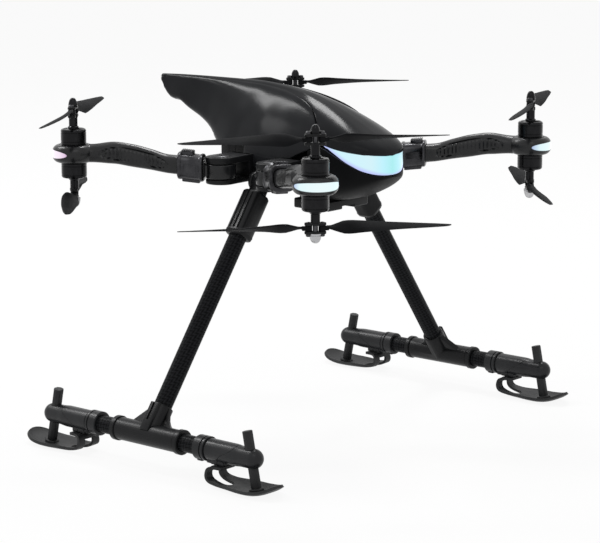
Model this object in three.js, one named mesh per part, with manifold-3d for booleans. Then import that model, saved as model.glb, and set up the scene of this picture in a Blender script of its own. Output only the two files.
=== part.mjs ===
// A folding camera quadcopter with eight coaxial rotors, on tall folding legs with sprung skis.
// Millimetres. The ground is z = 0, the nose points to -Y, and the origin is under the middle of the airframe.
import * as THREE from "three";
import { mergeVertices } from "three/addons/utils/BufferGeometryUtils.js";
import Module from "manifold-3d";

const wasm = await Module();
wasm.setup();

// Clearances shared by every piece
const seatGap = 0.3; // between pieces that are fastened together
const runGap = 0.5; // between pieces that turn or slide on each other
const overrun = 5; // how far a cut runs past the faces it opens

// Hull: the outer skin of the fuselage, from the nose to the tip of the tail fin
const hull = {
  noseY: -102,
  tailY: 176,
  noseCentreY: -52, // the nose is half an ellipse in plan about this station
  ridgeZ: 312.5,
  flankZ: 252, // height of the widest line
  skirtZ: 238.5, // lowest edge of the side shells
  halfWidth: 47.5,
  wall: 2.2,
  bayEndY: 82, // rear opening, where the battery slides in
};

const light = { depth: 4.5, tipBack: 1.8, tipDrop: 1.05 };
const belly = { depth: 24.5, arcSteps: 7 };

// Chassis: the plate frame that carries arms and legs
const frame = {
  baseZ: 229,
  plate: 4.2, // thickness of the lower ears
  coreHalfWidth: 40,
  coreFrontY: -42,
  coreRearY: 60,
  coreHeight: 13.5,
  webX: 54.5, // outer wall that joins lower and upper ears
  webThickness: 5,
  topEar: 6,
  earInner: 12, // the ears run this far from the pin towards the leg
  earOuter: 12,
  cheek: 4,
  legPinRadius: 3,
  earSteps: 4,
};

// Arms: folding booms on upright pins
const arm = {
  pinX: 79.2,
  pinY: 29.9,
  pinZ: 241, // axis of the root
  pinRadius: 4,
  pinCapRadius: 7.5,
  pinCapHeight: 0.8,
  knuckleRadius: 13.5,
  knuckleDrop: 7.3, // the knuckle reaches this far below the axis
  knuckleRise: 5.7,
  reach: 133.3, // pin to motor axis
  spreadAngle: 57, // from the X axis, seen from above
  rootWidth: 17,
  rootHeight: 16.4,
  rootSlope: 0.1, // rise of the straight root for each millimetre outwards
  neckHalf: 7.65, // block between knuckle and boom
  neckStep: 2,
  ringPoints: 10,
};

// Pods at the arm ends, with a light in the outer mouth
const pod = {
  radius: 19.5,
  halfHeight: 8,
  seatRadius: 12.4, // flat under the motors
  rise: 12.8, // middle of the pod above the axis of the root
  lightHalfHeight: 4.1,
  lightStart: 2, // the light begins this far from the motor axis
  lightInset: 0.4,
  lightCore: 6,
  rimSteps: 4,
  rimPower: 0.8,
};

const sleeve = {
  start: 14.6, // from the pin, when locked
  length: 23.4,
  lip: 3.7, // raised rim at each end
  lipEase: 1.1,
  wall: 4,
  waist: 3.2, // wall between the rims
  edge: 2.4, // wall at the rounded ends
  power: 3.1,
  keel: 1.6,
  tabWidth: 11,
  tabLength: 14,
  tabHeight: 2.6,
  ribs: 3,
};

// Motors and propellers
const motor = {
  radius: 11.4,
  canHeight: 13.6,
  canWall: 1.4,
  windows: 3,
  windowWidth: 3.4,
  shaftRadius: 3.9,
  statorRadius: 8.6,
  statorHeight: 10.6,
  upperPlaneRise: 37.1, // propeller plane above the middle of the pod
  lowerPlaneDrop: 36.4,
};
const hub = {
  pivot: 5.7, // blade pin from the rotor axis
  lugRadius: 3.1,
  plateRadius: 3.4,
  plate: 2.2,
  clearHalf: 2.5, // half the space between the plates
  pinRadius: 1.4,
  screwHeight: 2.2,
  screwRadius: 2.3,
  spinnerRadius: 4.2,
  spinnerHeight: 8.4,
  lowerSpinnerRadius: 5.2,
  spinnerSteps: 2,
  spinnerPower: 0.7,
};
const blade = {
  radius: 114.3, // 9 inch propeller
  pitch: 127, // advance in one turn
  chord: 16.4,
  lugHalf: 2.1,
  thicknessShare: 0.09,
  edge: 0.8, // least thickness
  rootTwist: 12,
  rootStart: 2.301, // the blade leaves its eye this far from the pin
};

// Legs, skids and feet
const leg = {
  hingeX: 60,
  hingeZ: 231,
  y: -2,
  skidX: 206.35,
  skidZ: 29.2,
  eyeRadius: 8.5,
  eyeWidth: 10,
  tubeRadius: 8,
  tubeWall: 1.3,
  socketStart: 12,
  socketEnd: 56,
  socketHalf: 10.6,
  socketPower: 3.4,
  webHalf: 6.8,
  latchEnd: 34.7,
  socketBore: 30, // depth of the tube in the socket
  grooves: 3,
  groovePitch: 4.6,
  grooveWidth: 2,
  grooveDepth: 1.2,
  latchHeight: 4,
  latchWidth: 7,
  tubeInset: 2,
};
const skid = {
  halfLength: 119, // middle of the skid to the posts
  tubeRadius: 7.7,
  teeHalf: 40,
  teeRadius: 9.9,
  teeRise: 27,
  clampStart: 58,
  clampRadius: 9.4,
  collarRadius: 10.6,
  collarLength: 12,
  tipRadius: 8.6,
  tipSteps: 2,
  taperStart: 100,
  taperEnd: 107,
  teeRing: 5,
  ringProud: 1,
  gusset: 4,
  gussetLow: 5.9,
  gussetHigh: 25.6,
  gussetFoot: 24.8,
  gussetTop: 7.9,
  channelStart: 2,
  channelHalf: 5,
  bossHalf: 6,
  bossProud: 1.5,
};
const ski = {
  width: 34,
  rootWidth: 17,
  leaf: 2.4, // thickness of the spring leaf
  rootY: 83, // from the middle of the skid
  tipY: 146,
  tipZ: 9.5,
  postWidth: 9,
  postDepth: 8,
  postY: 116.8, // where the post crosses the axis of the skid
  postTopZ: 53,
  postTilt: 11.7,
  slotWidth: 7,
  postCorner: 2.4,
  soleY: 113, // lowest line of the sole
  curl: 22, // length over which the tip curls up
  flareY: 95.4,
  widestY: 116.3,
  noseY: 139.4,
  slotEnd: 103.1,
  rootBoss: 7, // half length of the fixing pad of the leaf
  kneeZ: 11,
  steps: 3,
};
const battery = {
  width: 44,
  height: 14.7,
  length: 108,
  corner: 3,
  gripHalf: 11,
  gripDepth: 2,
  gripLow: 5.1, // above the floor of the bay
  gripHigh: 9.6,
};
const avionics = { halfWidth: 24, length: 36, board: 3, height: 12, gap: 2, coverHalf: 17, coverFront: 5, coverRear: 7 };
const mountBox = {
  halfWidth: 28,
  frontY: -52,
  rearY: -11,
  bottomZ: 205,
  height: 9,
  chamfer: 3,
  railHalf: 9,
  railDepth: 3,
  neckHalf: 20,
};

const colours = {
  shell: 0x1b1c1e,
  satin: 0x232427,
  gloss: 0x2b2c30,
  carbon: 0x17181a,
  bell: 0x141416,
  blade: 0x1d1e20,
  iceLight: 0xbfeaff,
  roseLight: 0xffd6f2,
};

// Small solid-modelling kit

const degrees = Math.PI / 180;
const hair = 0.01; // points closer than this are one
const rounds = { tiny: 6, small: 8, middle: 10, large: 12 }; // sides of round work

function solid(geometry) {
  const bare = geometry.index ? geometry.toNonIndexed() : geometry.clone();
  bare.deleteAttribute("normal");
  bare.deleteAttribute("uv");
  const merged = mergeVertices(bare, 1e-4);
  const vertProperties = new Float32Array(merged.attributes.position.array);
  const triVerts = new Uint32Array(merged.index.array);
  return new wasm.Manifold(new wasm.Mesh({ numProp: 3, vertProperties, triVerts }));
}

function mesh(name, shape, colour, roughness = 0.5, metalness = 0) {
  const data = shape.getMesh();
  const geometry = new THREE.BufferGeometry();
  geometry.setAttribute("position", new THREE.BufferAttribute(new Float32Array(data.vertProperties), 3));
  geometry.setIndex(new THREE.BufferAttribute(new Uint32Array(data.triVerts), 1));
  const material = new THREE.MeshStandardMaterial({ color: colour, roughness, metalness, flatShading: true });
  const made = new THREE.Mesh(geometry, material);
  made.name = name;
  return made;
}

// A closed body through rings of equal point count, listed anticlockwise as seen from the last ring.
function loft(rings) {
  const count = rings[0].length;
  const points = rings.flat();
  const triangles = [];
  for (let r = 0; r + 1 < rings.length; r++) {
    for (let i = 0; i < count; i++) {
      const a = r * count + i;
      const b = r * count + ((i + 1) % count);
      triangles.push(a, b, b + count, a, b + count, a + count);
    }
  }
  const last = (rings.length - 1) * count;
  const contour = rings[0].map((p) => p.clone());
  capTriangles(contour).forEach(([a, b, c]) => triangles.push(c, b, a));
  const endContour = rings[rings.length - 1];
  capTriangles(endContour).forEach(([a, b, c]) => triangles.push(last + a, last + b, last + c));
  const geometry = new THREE.BufferGeometry();
  geometry.setAttribute("position", new THREE.Float32BufferAttribute(points.flatMap((p) => p.toArray()), 3));
  geometry.setIndex(triangles);
  let made = solid(geometry);
  if (made.volume() < 0) {
    for (let i = 0; i < triangles.length; i += 3) [triangles[i], triangles[i + 1]] = [triangles[i + 1], triangles[i]];
    geometry.setIndex(triangles);
    made = solid(geometry);
  }
  return made;
}

// Triangles of a flat ring, anticlockwise about the ring's own normal.
function capTriangles(ring) {
  const centre = ring.reduce((sum, p) => sum.add(p), new THREE.Vector3()).divideScalar(ring.length);
  const normal = new THREE.Vector3();
  ring.forEach((p, i) => {
    const q = ring[(i + 1) % ring.length];
    normal.add(p.clone().sub(centre).cross(q.clone().sub(centre)));
  });
  normal.normalize();
  const across = ring[0].clone().sub(centre).projectOnPlane(normal).normalize();
  const up = normal.clone().cross(across);
  const flat = ring.map((p) => new THREE.Vector2(p.clone().sub(centre).dot(across), p.clone().sub(centre).dot(up)));
  return THREE.ShapeUtils.triangulateShape(flat, []);
}

function box(x0, x1, y0, y1, z0, z1) {
  const made = new THREE.BoxGeometry(x1 - x0, y1 - y0, z1 - z0);
  return made.translate((x0 + x1) / 2, (y0 + y1) / 2, (z0 + z1) / 2);
}

// A revolved body about Z from [radius, height] pairs that start and end on the axis.
function revolve(profile, segments) {
  const made = new THREE.LatheGeometry(profile.map(([r, z]) => new THREE.Vector2(r, z)), segments);
  return made.rotateX(90 * degrees);
}

function rod(radius, z0, z1, segments = 24) {
  return revolve([[0, z0], [radius, z0], [radius, z1], [0, z1]], segments);
}

// A plate of constant thickness: the outline lies in XY and rises from z0 to z1.
function plate(points, z0, z1, curveSegments = 10) {
  const all = points instanceof THREE.Shape
    ? points.getPoints(curveSegments)
    : points.map(([x, y]) => new THREE.Vector2(x, y));
  const outline = all.filter((p, i) => p.distanceTo(all[(i + 1) % all.length]) > hair);
  const made = new THREE.ExtrudeGeometry(new THREE.Shape(outline), { depth: z1 - z0, bevelEnabled: false });
  return made.translate(0, 0, z0);
}

// The same plate stood up: the outline is in YZ and its thickness runs along X.
function upright(points, x0, x1, curveSegments = 10) {
  return plate(points, x0, x1, curveSegments).rotateX(90 * degrees).rotateZ(90 * degrees);
}

// One superellipse ring in a plane square to X.
function ovalRing(x, y, z, halfWidth, halfHeight, power, count) {
  const ring = [];
  for (let i = 0; i < count; i++) {
    const angle = ((i + 0.5) / count) * 2 * Math.PI;
    const c = Math.cos(angle);
    const s = Math.sin(angle);
    const px = Math.sign(c) * Math.abs(c) ** (2 / power) * halfWidth;
    const pz = Math.sign(s) * Math.abs(s) ** (2 / power) * halfHeight;
    ring.push(new THREE.Vector3(x, y + px, z + pz));
  }
  return ring;
}

function lerpTable(table, at) {
  for (let i = 1; i < table.length; i++) {
    const [a, b] = [table[i - 1], table[i]];
    if (at <= b[0]) return a[1] + ((b[1] - a[1]) * (at - a[0])) / (b[0] - a[0]);
  }
  return table[table.length - 1][1];
}

// Hull sections. Stations are shares of the length from the nose, heights are shares of the height
// from the skirt to the ridge, and widths are shares of the half width.
const hullLength = hull.tailY - hull.noseY;
const hullHeight = hull.ridgeZ - hull.skirtZ;
const ridgeShares = [[0, 0.25], [0.004, 0.31], [0.02, 0.375], [0.06, 0.468], [0.1, 0.545], [0.15, 0.64], [0.21, 0.745],
  [0.28, 0.85], [0.36, 0.93], [0.45, 0.975], [0.56, 1], [0.75, 0.995], [0.9, 0.985], [1, 0.97]];
const widthShares = [[0.181, 1], [0.3, 1.03], [0.42, 1], [0.5, 0.9], [0.58, 0.75], [0.67, 0.52], [0.74, 0.34],
  [0.82, 0.22], [0.9, 0.15], [1, 0.07]];
const floorShares = [[0, 0], [0.49, 0], [0.56, 0.08], [0.62, 0.17], [0.68, 0.27], [0.717, 0.35], [0.779, 0.47],
  [0.851, 0.58], [0.906, 0.68], [0.938, 0.69], [0.967, 0.77], [0.986, 0.89], [1, 0.94]];
const floorWidthShares = [[0, 0.97], [0.67, 0.95], [0.7, 0.7], [0.76, 0.4], [1, 0.35]];
const seamWidthShares = [[0, 0.5], [0.1, 0.62], [0.2, 0.55], [0.3, 0.4], [0.4, 0.28], [0.55, 0.2], [0.8, 0.16],
  [1, 0.07]];
const noseStationShares = [0.9995, 0.98, 0.92, 0.81, 0.62, 0.36, 0];
const aftStationShares = [0.25, 0.33, 0.42, 0.5, 0.58, 0.66, 0.72, 0.78, 0.851, 0.906, 0.938, 0.967, 0.986, 1];
const noseShare = (hull.noseCentreY - hull.noseY) / (hull.tailY - hull.noseY);

function hullHalfWidth(y) {
  if (y < hull.noseCentreY) {
    const reach = (hull.noseCentreY - y) / (hull.noseCentreY - hull.noseY);
    return hull.halfWidth * Math.sqrt(Math.max(1 - reach * reach, 0));
  }
  return hull.halfWidth * lerpTable(widthShares, (y - hull.noseY) / hullLength);
}

// Half a section: across is a share of the width beside the seam, drops are shares of the height
const sectionShares = {
  crownAcross: 0.6,
  crownDrop: 0.012,
  shoulderAcross: 0.22,
  shoulderDrop: 0.13,
  flankAcross: 0.64,
  flankDrop: 0.52,
  lowestFlank: 0.14,
  highestFlank: 0.3,
};
const sectionSteps = 5;

function hullSection(y, inset, floorDrop) {
  const at = (y - hull.noseY) / hullLength;
  const least = hull.wall / 2;
  const width = Math.max(hullHalfWidth(y) - inset, least);
  const floor = hull.skirtZ + hullHeight * lerpTable(floorShares, at) - floorDrop;
  const ridge = Math.max(hull.skirtZ + hullHeight * lerpTable(ridgeShares, at) - inset, floor + least);
  const seamWidth = Math.min(hull.halfWidth * lerpTable(seamWidthShares, at), width);
  const beside = width - seamWidth;
  const tall = ridge - floor;
  const share = sectionShares;
  const flank = Math.min(hull.flankZ, floor + tall * share.highestFlank);
  const wide = Math.max(floor + tall * share.lowestFlank, flank);
  const curve = new THREE.SplineCurve([
    new THREE.Vector2(0, ridge),
    new THREE.Vector2(seamWidth * share.crownAcross, ridge - tall * share.crownDrop),
    new THREE.Vector2(seamWidth + beside * share.shoulderAcross, ridge - tall * share.shoulderDrop),
    new THREE.Vector2(seamWidth + beside * share.flankAcross, ridge - (ridge - wide) * share.flankDrop),
    new THREE.Vector2(width, wide),
    new THREE.Vector2(width * lerpTable(floorWidthShares, at), floor),
  ]);
  const half = curve.getPoints(sectionSteps);
  const ring = half.map((p) => new THREE.Vector3(p.x, y, p.y));
  half.slice(1).reverse().forEach((p) => ring.push(new THREE.Vector3(-p.x, y, p.y)));
  return ring;
}

function hullBody(inset, floorDrop) {
  const nose = noseStationShares.map((share) => hull.noseCentreY - share * (hull.noseCentreY - hull.noseY - inset));
  const aft = aftStationShares.map((share) => hull.noseY + inset + share * (hullLength - 2 * inset));
  return loft([...nose, ...aft].map((y) => hullSection(y, inset, floorDrop)));
}

// A solid as deep as the hull is wide, from its outline seen from the side as [y, z].
function sidePrism(points) {
  return solid(upright(points, -2 * hull.halfWidth, 2 * hull.halfWidth));
}

const alongHull = (share) => hull.noseY + hullLength * share;
const upHull = (share) => hull.skirtZ + hullHeight * share;
const behindY = hull.tailY + overrun;
const aheadY = hull.noseY - overrun;
const belowZ = hull.skirtZ - overrun;
const aboveZ = hull.ridgeZ + overrun;

// Outlines seen from the side, as shares along and up the hull: the seam between canopy and side shell runs from
// the tail to the tip of the nose light, the band is the nose light, and the skirt is the lower edge of the side shell
const seamShares = [[1.02, 0.925], [0.8, 0.965], [0.55, 0.965], [0.4, 0.92], [0.3, 0.85], [0.22, 0.72], [0.185, 0.58],
  [0.168, 0.38]];
const bandTopShares = [[0.1, 0.322], [0.04, 0.283], [-0.02, 0.24]];
const bandBottomShares = [[-0.02, 0], [0.01, 0.03], [0.04, 0.07], [0.1, 0.15]];
const skirtShares = [[0.24, 0.26], [0.31, 0.12], [0.38, 0.02], [0.45, 0], [0.475, 0.06], [0.487, 0.26], [0.682, 0.26]];
const onHull = ([y, z]) => [alongHull(y), upHull(z)];
const seamSide = seamShares.map(onHull);
const bandTip = seamSide[seamSide.length - 1];
const bandTop = bandTopShares.map(onHull);
const bandBottom = bandBottomShares.map(onHull);
const skirtEdge = skirtShares.map(onHull);
const skirtFront = skirtEdge[0];
const skirtRear = skirtEdge[skirtEdge.length - 1];

const outer = hullBody(0, 0);
const hollow = hullBody(hull.wall, overrun);

function topCanopy() {
  const region = [...seamSide, ...bandTop, [aheadY, aboveZ], [behindY, aboveZ]];
  return outer.subtract(hollow).intersect(sidePrism(region));
}

// Side shells joined under the canopy, with the solid tail fin behind the battery bay
function finShell() {
  const tail = [[hull.bayEndY + hull.wall, belowZ], [hull.bayEndY + hull.wall, aboveZ], [behindY, aboveZ],
    [behindY, belowZ]];
  const below = seamSide.map(([y, z]) => [y + seatGap, z - seatGap]);
  const region = [...below, ...skirtEdge, [skirtRear[0], belowZ], [behindY, belowZ]];
  return outer.subtract(hollow).add(outer.intersect(sidePrism(tail))).intersect(sidePrism(region));
}

// Wrap-round light between canopy and chin
function noseLight() {
  const region = [[bandTip[0] - light.tipBack, bandTip[1] - light.tipDrop], ...bandTop.map(([y, z]) => [y, z - seatGap]),
    ...bandBottom.map(([y, z]) => [y, z + seatGap])];
  const core = hullBody(light.depth, overrun);
  return outer.subtract(core).intersect(sidePrism(region));
}

// Chin bowl under the light, running back as a shallow belly under the frame
const bellyDepthShares = [[0, 0.02], [0.01, 0.12], [0.04, 0.4], [0.09, 0.72], [0.14, 0.94], [0.18, 1], [0.24, 0.96],
  [0.32, 0.75], [0.45, 0.62], [0.6, 0.4]];
const bellyTopShares = [[0, 0.075], [0.04, 0.1], [0.1, 0.2], [0.17, 0.36], [0.22, 0.3], [0.25, 0.1], [1, 0.1]];
const bellyAftShares = [0.25, 0.35, 0.48, 0.6];
const bellyWidthShares = { chin: 0.97, taper: 0.5 };
const bellyPowers = { across: 0.75, down: 0.85 };

function bellyBody(inset, lift) {
  const rings = [];
  const stations = [...noseStationShares.map((n) => (1 - n) * noseShare), ...bellyAftShares];
  stations.forEach((share, index) => {
    const y = alongHull(share) + (index === 0 ? inset : 0);
    const widthShare = bellyWidthShares.chin - Math.max(share - noseShare, 0) * bellyWidthShares.taper;
    const width = Math.max(hullHalfWidth(y) * widthShare - inset, hull.wall / 2);
    const deep = Math.max(belly.depth * lerpTable(bellyDepthShares, share) - inset, 0);
    const top = hull.skirtZ + hullHeight * lerpTable(bellyTopShares, share) + lift;
    const ring = [new THREE.Vector3(-width, y, top)];
    for (let i = 0; i <= belly.arcSteps; i++) {
      const angle = Math.PI * (1 + i / belly.arcSteps);
      const c = Math.cos(angle);
      const across = Math.sign(c) * Math.abs(c) ** bellyPowers.across * width;
      ring.push(new THREE.Vector3(across, y, hull.skirtZ - Math.abs(Math.sin(angle)) ** bellyPowers.down * deep));
    }
    ring.push(new THREE.Vector3(width, y, top));
    rings.push(ring);
  });
  return loft(rings);
}

function bellyHull() {
  const shellUnder = solid(box(-2 * hull.halfWidth, 2 * hull.halfWidth, frame.coreFrontY - seatGap, behindY,
    frame.baseZ - seatGap, aboveZ));
  const bandCut = sidePrism([...bandBottom, bandTip, skirtFront, [skirtFront[0], aboveZ], [aheadY, aboveZ]]);
  const b = mountBox;
  const opening = solid(box(-b.neckHalf - seatGap, b.neckHalf + seatGap, b.frontY + b.chamfer - seatGap,
    b.rearY + seatGap, b.bottomZ, frame.baseZ + overrun));
  const shell = bellyBody(0, 0).subtract(bellyBody(hull.wall, overrun));
  return shell.subtract(shellUnder).subtract(bandCut).subtract(opening);
}

// Frame of the airframe: core plate, ears that hold the arm pins, and a clevis for each leg
const lowerEarTop = frame.baseZ + frame.plate;
const upperEarZ = arm.pinZ + arm.knuckleRise + runGap;
const upperEarTop = upperEarZ + frame.topEar;

function earOutline(side, end) {
  const shape = new THREE.Shape();
  const x = side * arm.pinX;
  const y = end * arm.pinY;
  const inner = side * (frame.webX - frame.webThickness);
  shape.moveTo(inner, y - end * frame.earInner);
  shape.lineTo(inner, y + end * frame.earOuter);
  shape.lineTo(x, y + end * arm.knuckleRadius);
  const start = (end * Math.PI) / 2;
  shape.absarc(x, y, arm.knuckleRadius, start, -start, side * end > 0);
  shape.closePath();
  return shape;
}

function chassis() {
  const coreTop = frame.baseZ + frame.coreHeight;
  let made = solid(box(-frame.coreHalfWidth, frame.coreHalfWidth, frame.coreFrontY, frame.coreRearY, frame.baseZ,
    coreTop));
  for (const side of [-1, 1]) {
    for (const end of [-1, 1]) {
      const outline = earOutline(side, end);
      made = made.add(solid(plate(outline, frame.baseZ, lowerEarTop, frame.earSteps)));
      made = made.add(solid(plate(outline, upperEarZ, upperEarTop, frame.earSteps)));
      const webX0 = side * (frame.webX - frame.webThickness);
      const webX1 = side * frame.webX;
      const webY0 = end * (arm.pinY - frame.earInner);
      const webY1 = end * (arm.pinY + frame.earOuter);
      made = made.add(solid(box(Math.min(webX0, webX1), Math.max(webX0, webX1), Math.min(webY0, webY1),
        Math.max(webY0, webY1), frame.baseZ, upperEarTop)));
      const tieX0 = side * (frame.coreHalfWidth - frame.webThickness);
      made = made.add(solid(box(Math.min(tieX0, webX1), Math.max(tieX0, webX1), Math.min(webY0, webY1),
        Math.max(webY0, webY1), frame.baseZ, lowerEarTop)));
      const pin = revolve([[0, frame.baseZ - arm.pinCapHeight], [arm.pinCapRadius, frame.baseZ - arm.pinCapHeight],
        [arm.pinCapRadius, frame.baseZ + frame.plate / 2], [arm.pinRadius, frame.baseZ + frame.plate / 2],
        [arm.pinRadius, upperEarTop - frame.topEar / 2], [arm.pinCapRadius, upperEarTop - frame.topEar / 2],
        [arm.pinCapRadius, upperEarTop + arm.pinCapHeight], [0, upperEarTop + arm.pinCapHeight]], rounds.small);
      made = made.add(solid(pin.translate(side * arm.pinX, end * arm.pinY, 0)));
    }
    // Clevis: two cheeks beside the eye of the leg, with its cross pin
    for (const end of [-1, 1]) {
      const near = leg.y + end * (leg.eyeWidth / 2 + runGap);
      const far = near + end * frame.cheek;
      const cheek = new THREE.Shape();
      cheek.absarc(side * leg.hingeX, leg.hingeZ, leg.eyeRadius, -Math.PI / 2, Math.PI / 2, side < 0);
      cheek.lineTo(side * (frame.coreHalfWidth - frame.webThickness), leg.hingeZ + leg.eyeRadius);
      cheek.lineTo(side * (frame.coreHalfWidth - frame.webThickness), frame.baseZ);
      cheek.lineTo(side * (leg.hingeX - leg.eyeRadius), frame.baseZ);
      const stood = plate(cheek, 0, frame.cheek, frame.earSteps).rotateX(90 * degrees).translate(0, Math.max(near, far), 0);
      made = made.add(solid(stood));
    }
    const pin = rod(frame.legPinRadius, -leg.eyeWidth / 2 - frame.cheek, leg.eyeWidth / 2 + frame.cheek, rounds.middle)
      .rotateX(90 * degrees).translate(side * leg.hingeX, leg.y, leg.hingeZ);
    made = made.add(solid(pin));
  }
  return made;
}

// Box under the chin that takes the camera mount
function payloadMount() {
  const b = mountBox;
  const top = b.bottomZ + b.height;
  const outline = [[b.frontY, b.bottomZ], [b.rearY, b.bottomZ], [b.rearY, top], [b.frontY + b.chamfer, top],
    [b.frontY, top - b.chamfer]];
  let made = solid(upright(outline, -b.halfWidth, b.halfWidth));
  made = made.subtract(solid(box(-b.railHalf, b.railHalf, b.frontY - overrun, b.rearY + b.height + overrun,
    b.bottomZ - overrun, b.bottomZ + b.railDepth)));
  const neck = box(-b.neckHalf, b.neckHalf, b.frontY + b.chamfer, b.rearY, top - b.chamfer, frame.baseZ - seatGap);
  return made.add(solid(neck));
}

// Smart battery that slides in under the tail
function batteryPack() {
  const floor = frame.baseZ + frame.coreHeight + seatGap;
  const half = battery.width / 2;
  const rear = hull.bayEndY;
  const outline = new THREE.Shape();
  const r = battery.corner;
  outline.moveTo(-half + r, floor);
  outline.lineTo(half - r, floor);
  outline.quadraticCurveTo(half, floor, half, floor + r);
  outline.lineTo(half, floor + battery.height - r);
  outline.quadraticCurveTo(half, floor + battery.height, half - r, floor + battery.height);
  outline.lineTo(-half + r, floor + battery.height);
  outline.quadraticCurveTo(-half, floor + battery.height, -half, floor + battery.height - r);
  outline.lineTo(-half, floor + r);
  outline.quadraticCurveTo(-half, floor, -half + r, floor);
  const stood = plate(outline, 0, battery.length, 4).rotateX(90 * degrees).translate(0, rear, 0);
  const made = solid(stood);
  const grip = solid(box(-battery.gripHalf, battery.gripHalf, rear - battery.gripDepth, rear + overrun,
    floor + battery.gripLow, floor + battery.gripHigh));
  return made.subtract(grip);
}

// Flight controller and power electronics on the core plate, ahead of the battery
function electronics() {
  const floor = frame.baseZ + frame.coreHeight + seatGap;
  const b = avionics;
  const rear = hull.bayEndY - battery.length - b.gap;
  const board = solid(box(-b.halfWidth, b.halfWidth, rear - b.length, rear, floor, floor + b.board));
  const cover = solid(box(-b.coverHalf, b.coverHalf, rear - b.length + b.coverFront, rear - b.coverRear,
    floor + b.board / 2, floor + b.height));
  return board.add(cover);
}

// Arm in its own frame: the pin is the origin, X runs outwards, and Z is up from the middle of the knuckle
// The first rows are the straight root that the sleeve slides on; rises are shares of the pod's rise.
const armShares = [
  // reach, rise, width, height, squareness
  [0.352, null, 1, 1, 3.2],
  [0.47, 0.65, 0.97, 1.12, 2.8],
  [0.6, 0.905, 0.95, 1.24, 2.6],
  [0.73, 1.08, 0.95, 1.2, 2.6],
  [0.86, 1.03, 1.1, 1.0, 2.8],
  [0.96, 1.0, 1.5, 0.95, 3],
];
const rootRise = (x) => x * arm.rootSlope;

function armRing([share, rise, wide, tall, power]) {
  const x = share * arm.reach;
  const z = rise === null ? rootRise(x) : rise * pod.rise;
  return ovalRing(x, 0, z, (wide * arm.rootWidth) / 2, (tall * arm.rootHeight) / 2, power, arm.ringPoints);
}

function podShape(grow) {
  const r = pod.radius + grow;
  const h = pod.halfHeight + grow;
  const profile = [[0, -h], [pod.seatRadius, -h]];
  for (let i = 1; i < pod.rimSteps; i++) {
    const angle = -Math.PI / 2 + (i / pod.rimSteps) * Math.PI;
    profile.push([pod.seatRadius + (r - pod.seatRadius) * Math.cos(angle) ** pod.rimPower, h * Math.sin(angle)]);
  }
  profile.push([pod.seatRadius, h], [0, h]);
  return solid(revolve(profile, rounds.large).translate(arm.reach, 0, pod.rise));
}

// Space of the light: half an ellipse from the motor axis to the outer rim
function podMouth(shrink) {
  const shape = new THREE.Shape();
  const rx = pod.radius + overrun;
  const rz = pod.lightHalfHeight - shrink;
  const outerX = arm.reach + rx;
  shape.moveTo(outerX, pod.rise - rz);
  shape.absellipse(outerX, pod.rise, rx - pod.lightStart - shrink, rz, Math.PI * 1.5, Math.PI * 0.5, true);
  shape.closePath();
  const stood = plate(shape, -2 * pod.radius, 2 * pod.radius, pod.rimSteps).rotateX(90 * degrees);
  return solid(stood);
}

function armBody() {
  const knuckle = rod(arm.knuckleRadius, -arm.knuckleDrop, arm.knuckleRise, rounds.large);
  const neckEnd = sleeve.start - seatGap;
  const neck = box(0, neckEnd, -arm.neckHalf, arm.neckHalf, -arm.knuckleDrop + arm.neckStep,
    arm.knuckleRise - arm.neckStep / 2);
  const root = armShares[0].slice(1);
  const beam = loft([[(neckEnd - seatGap) / arm.reach, ...root], ...armShares].map(armRing));
  let made = solid(knuckle).add(solid(neck)).add(beam).add(podShape(0)).subtract(podMouth(0));
  for (const up of [-1, 1]) {
    const seat = pod.rise + up * pod.halfHeight;
    const [low, high] = [seat - (up * pod.halfHeight) / 2, seat + up * motor.statorHeight].sort((a, b) => a - b);
    made = made.add(solid(rod(motor.statorRadius, low, high, rounds.tiny).translate(arm.reach, 0, 0)));
  }
  const bore = rod(arm.pinRadius + runGap, -2 * arm.knuckleDrop, 2 * arm.knuckleDrop, rounds.small);
  return made.subtract(solid(bore));
}

function podLight() {
  const core = rod(pod.lightCore, -2 * pod.halfHeight, 2 * pod.halfHeight, rounds.small)
    .translate(arm.reach, 0, pod.rise);
  return podShape(-pod.lightInset).intersect(podMouth(seatGap)).subtract(solid(core));
}

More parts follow.
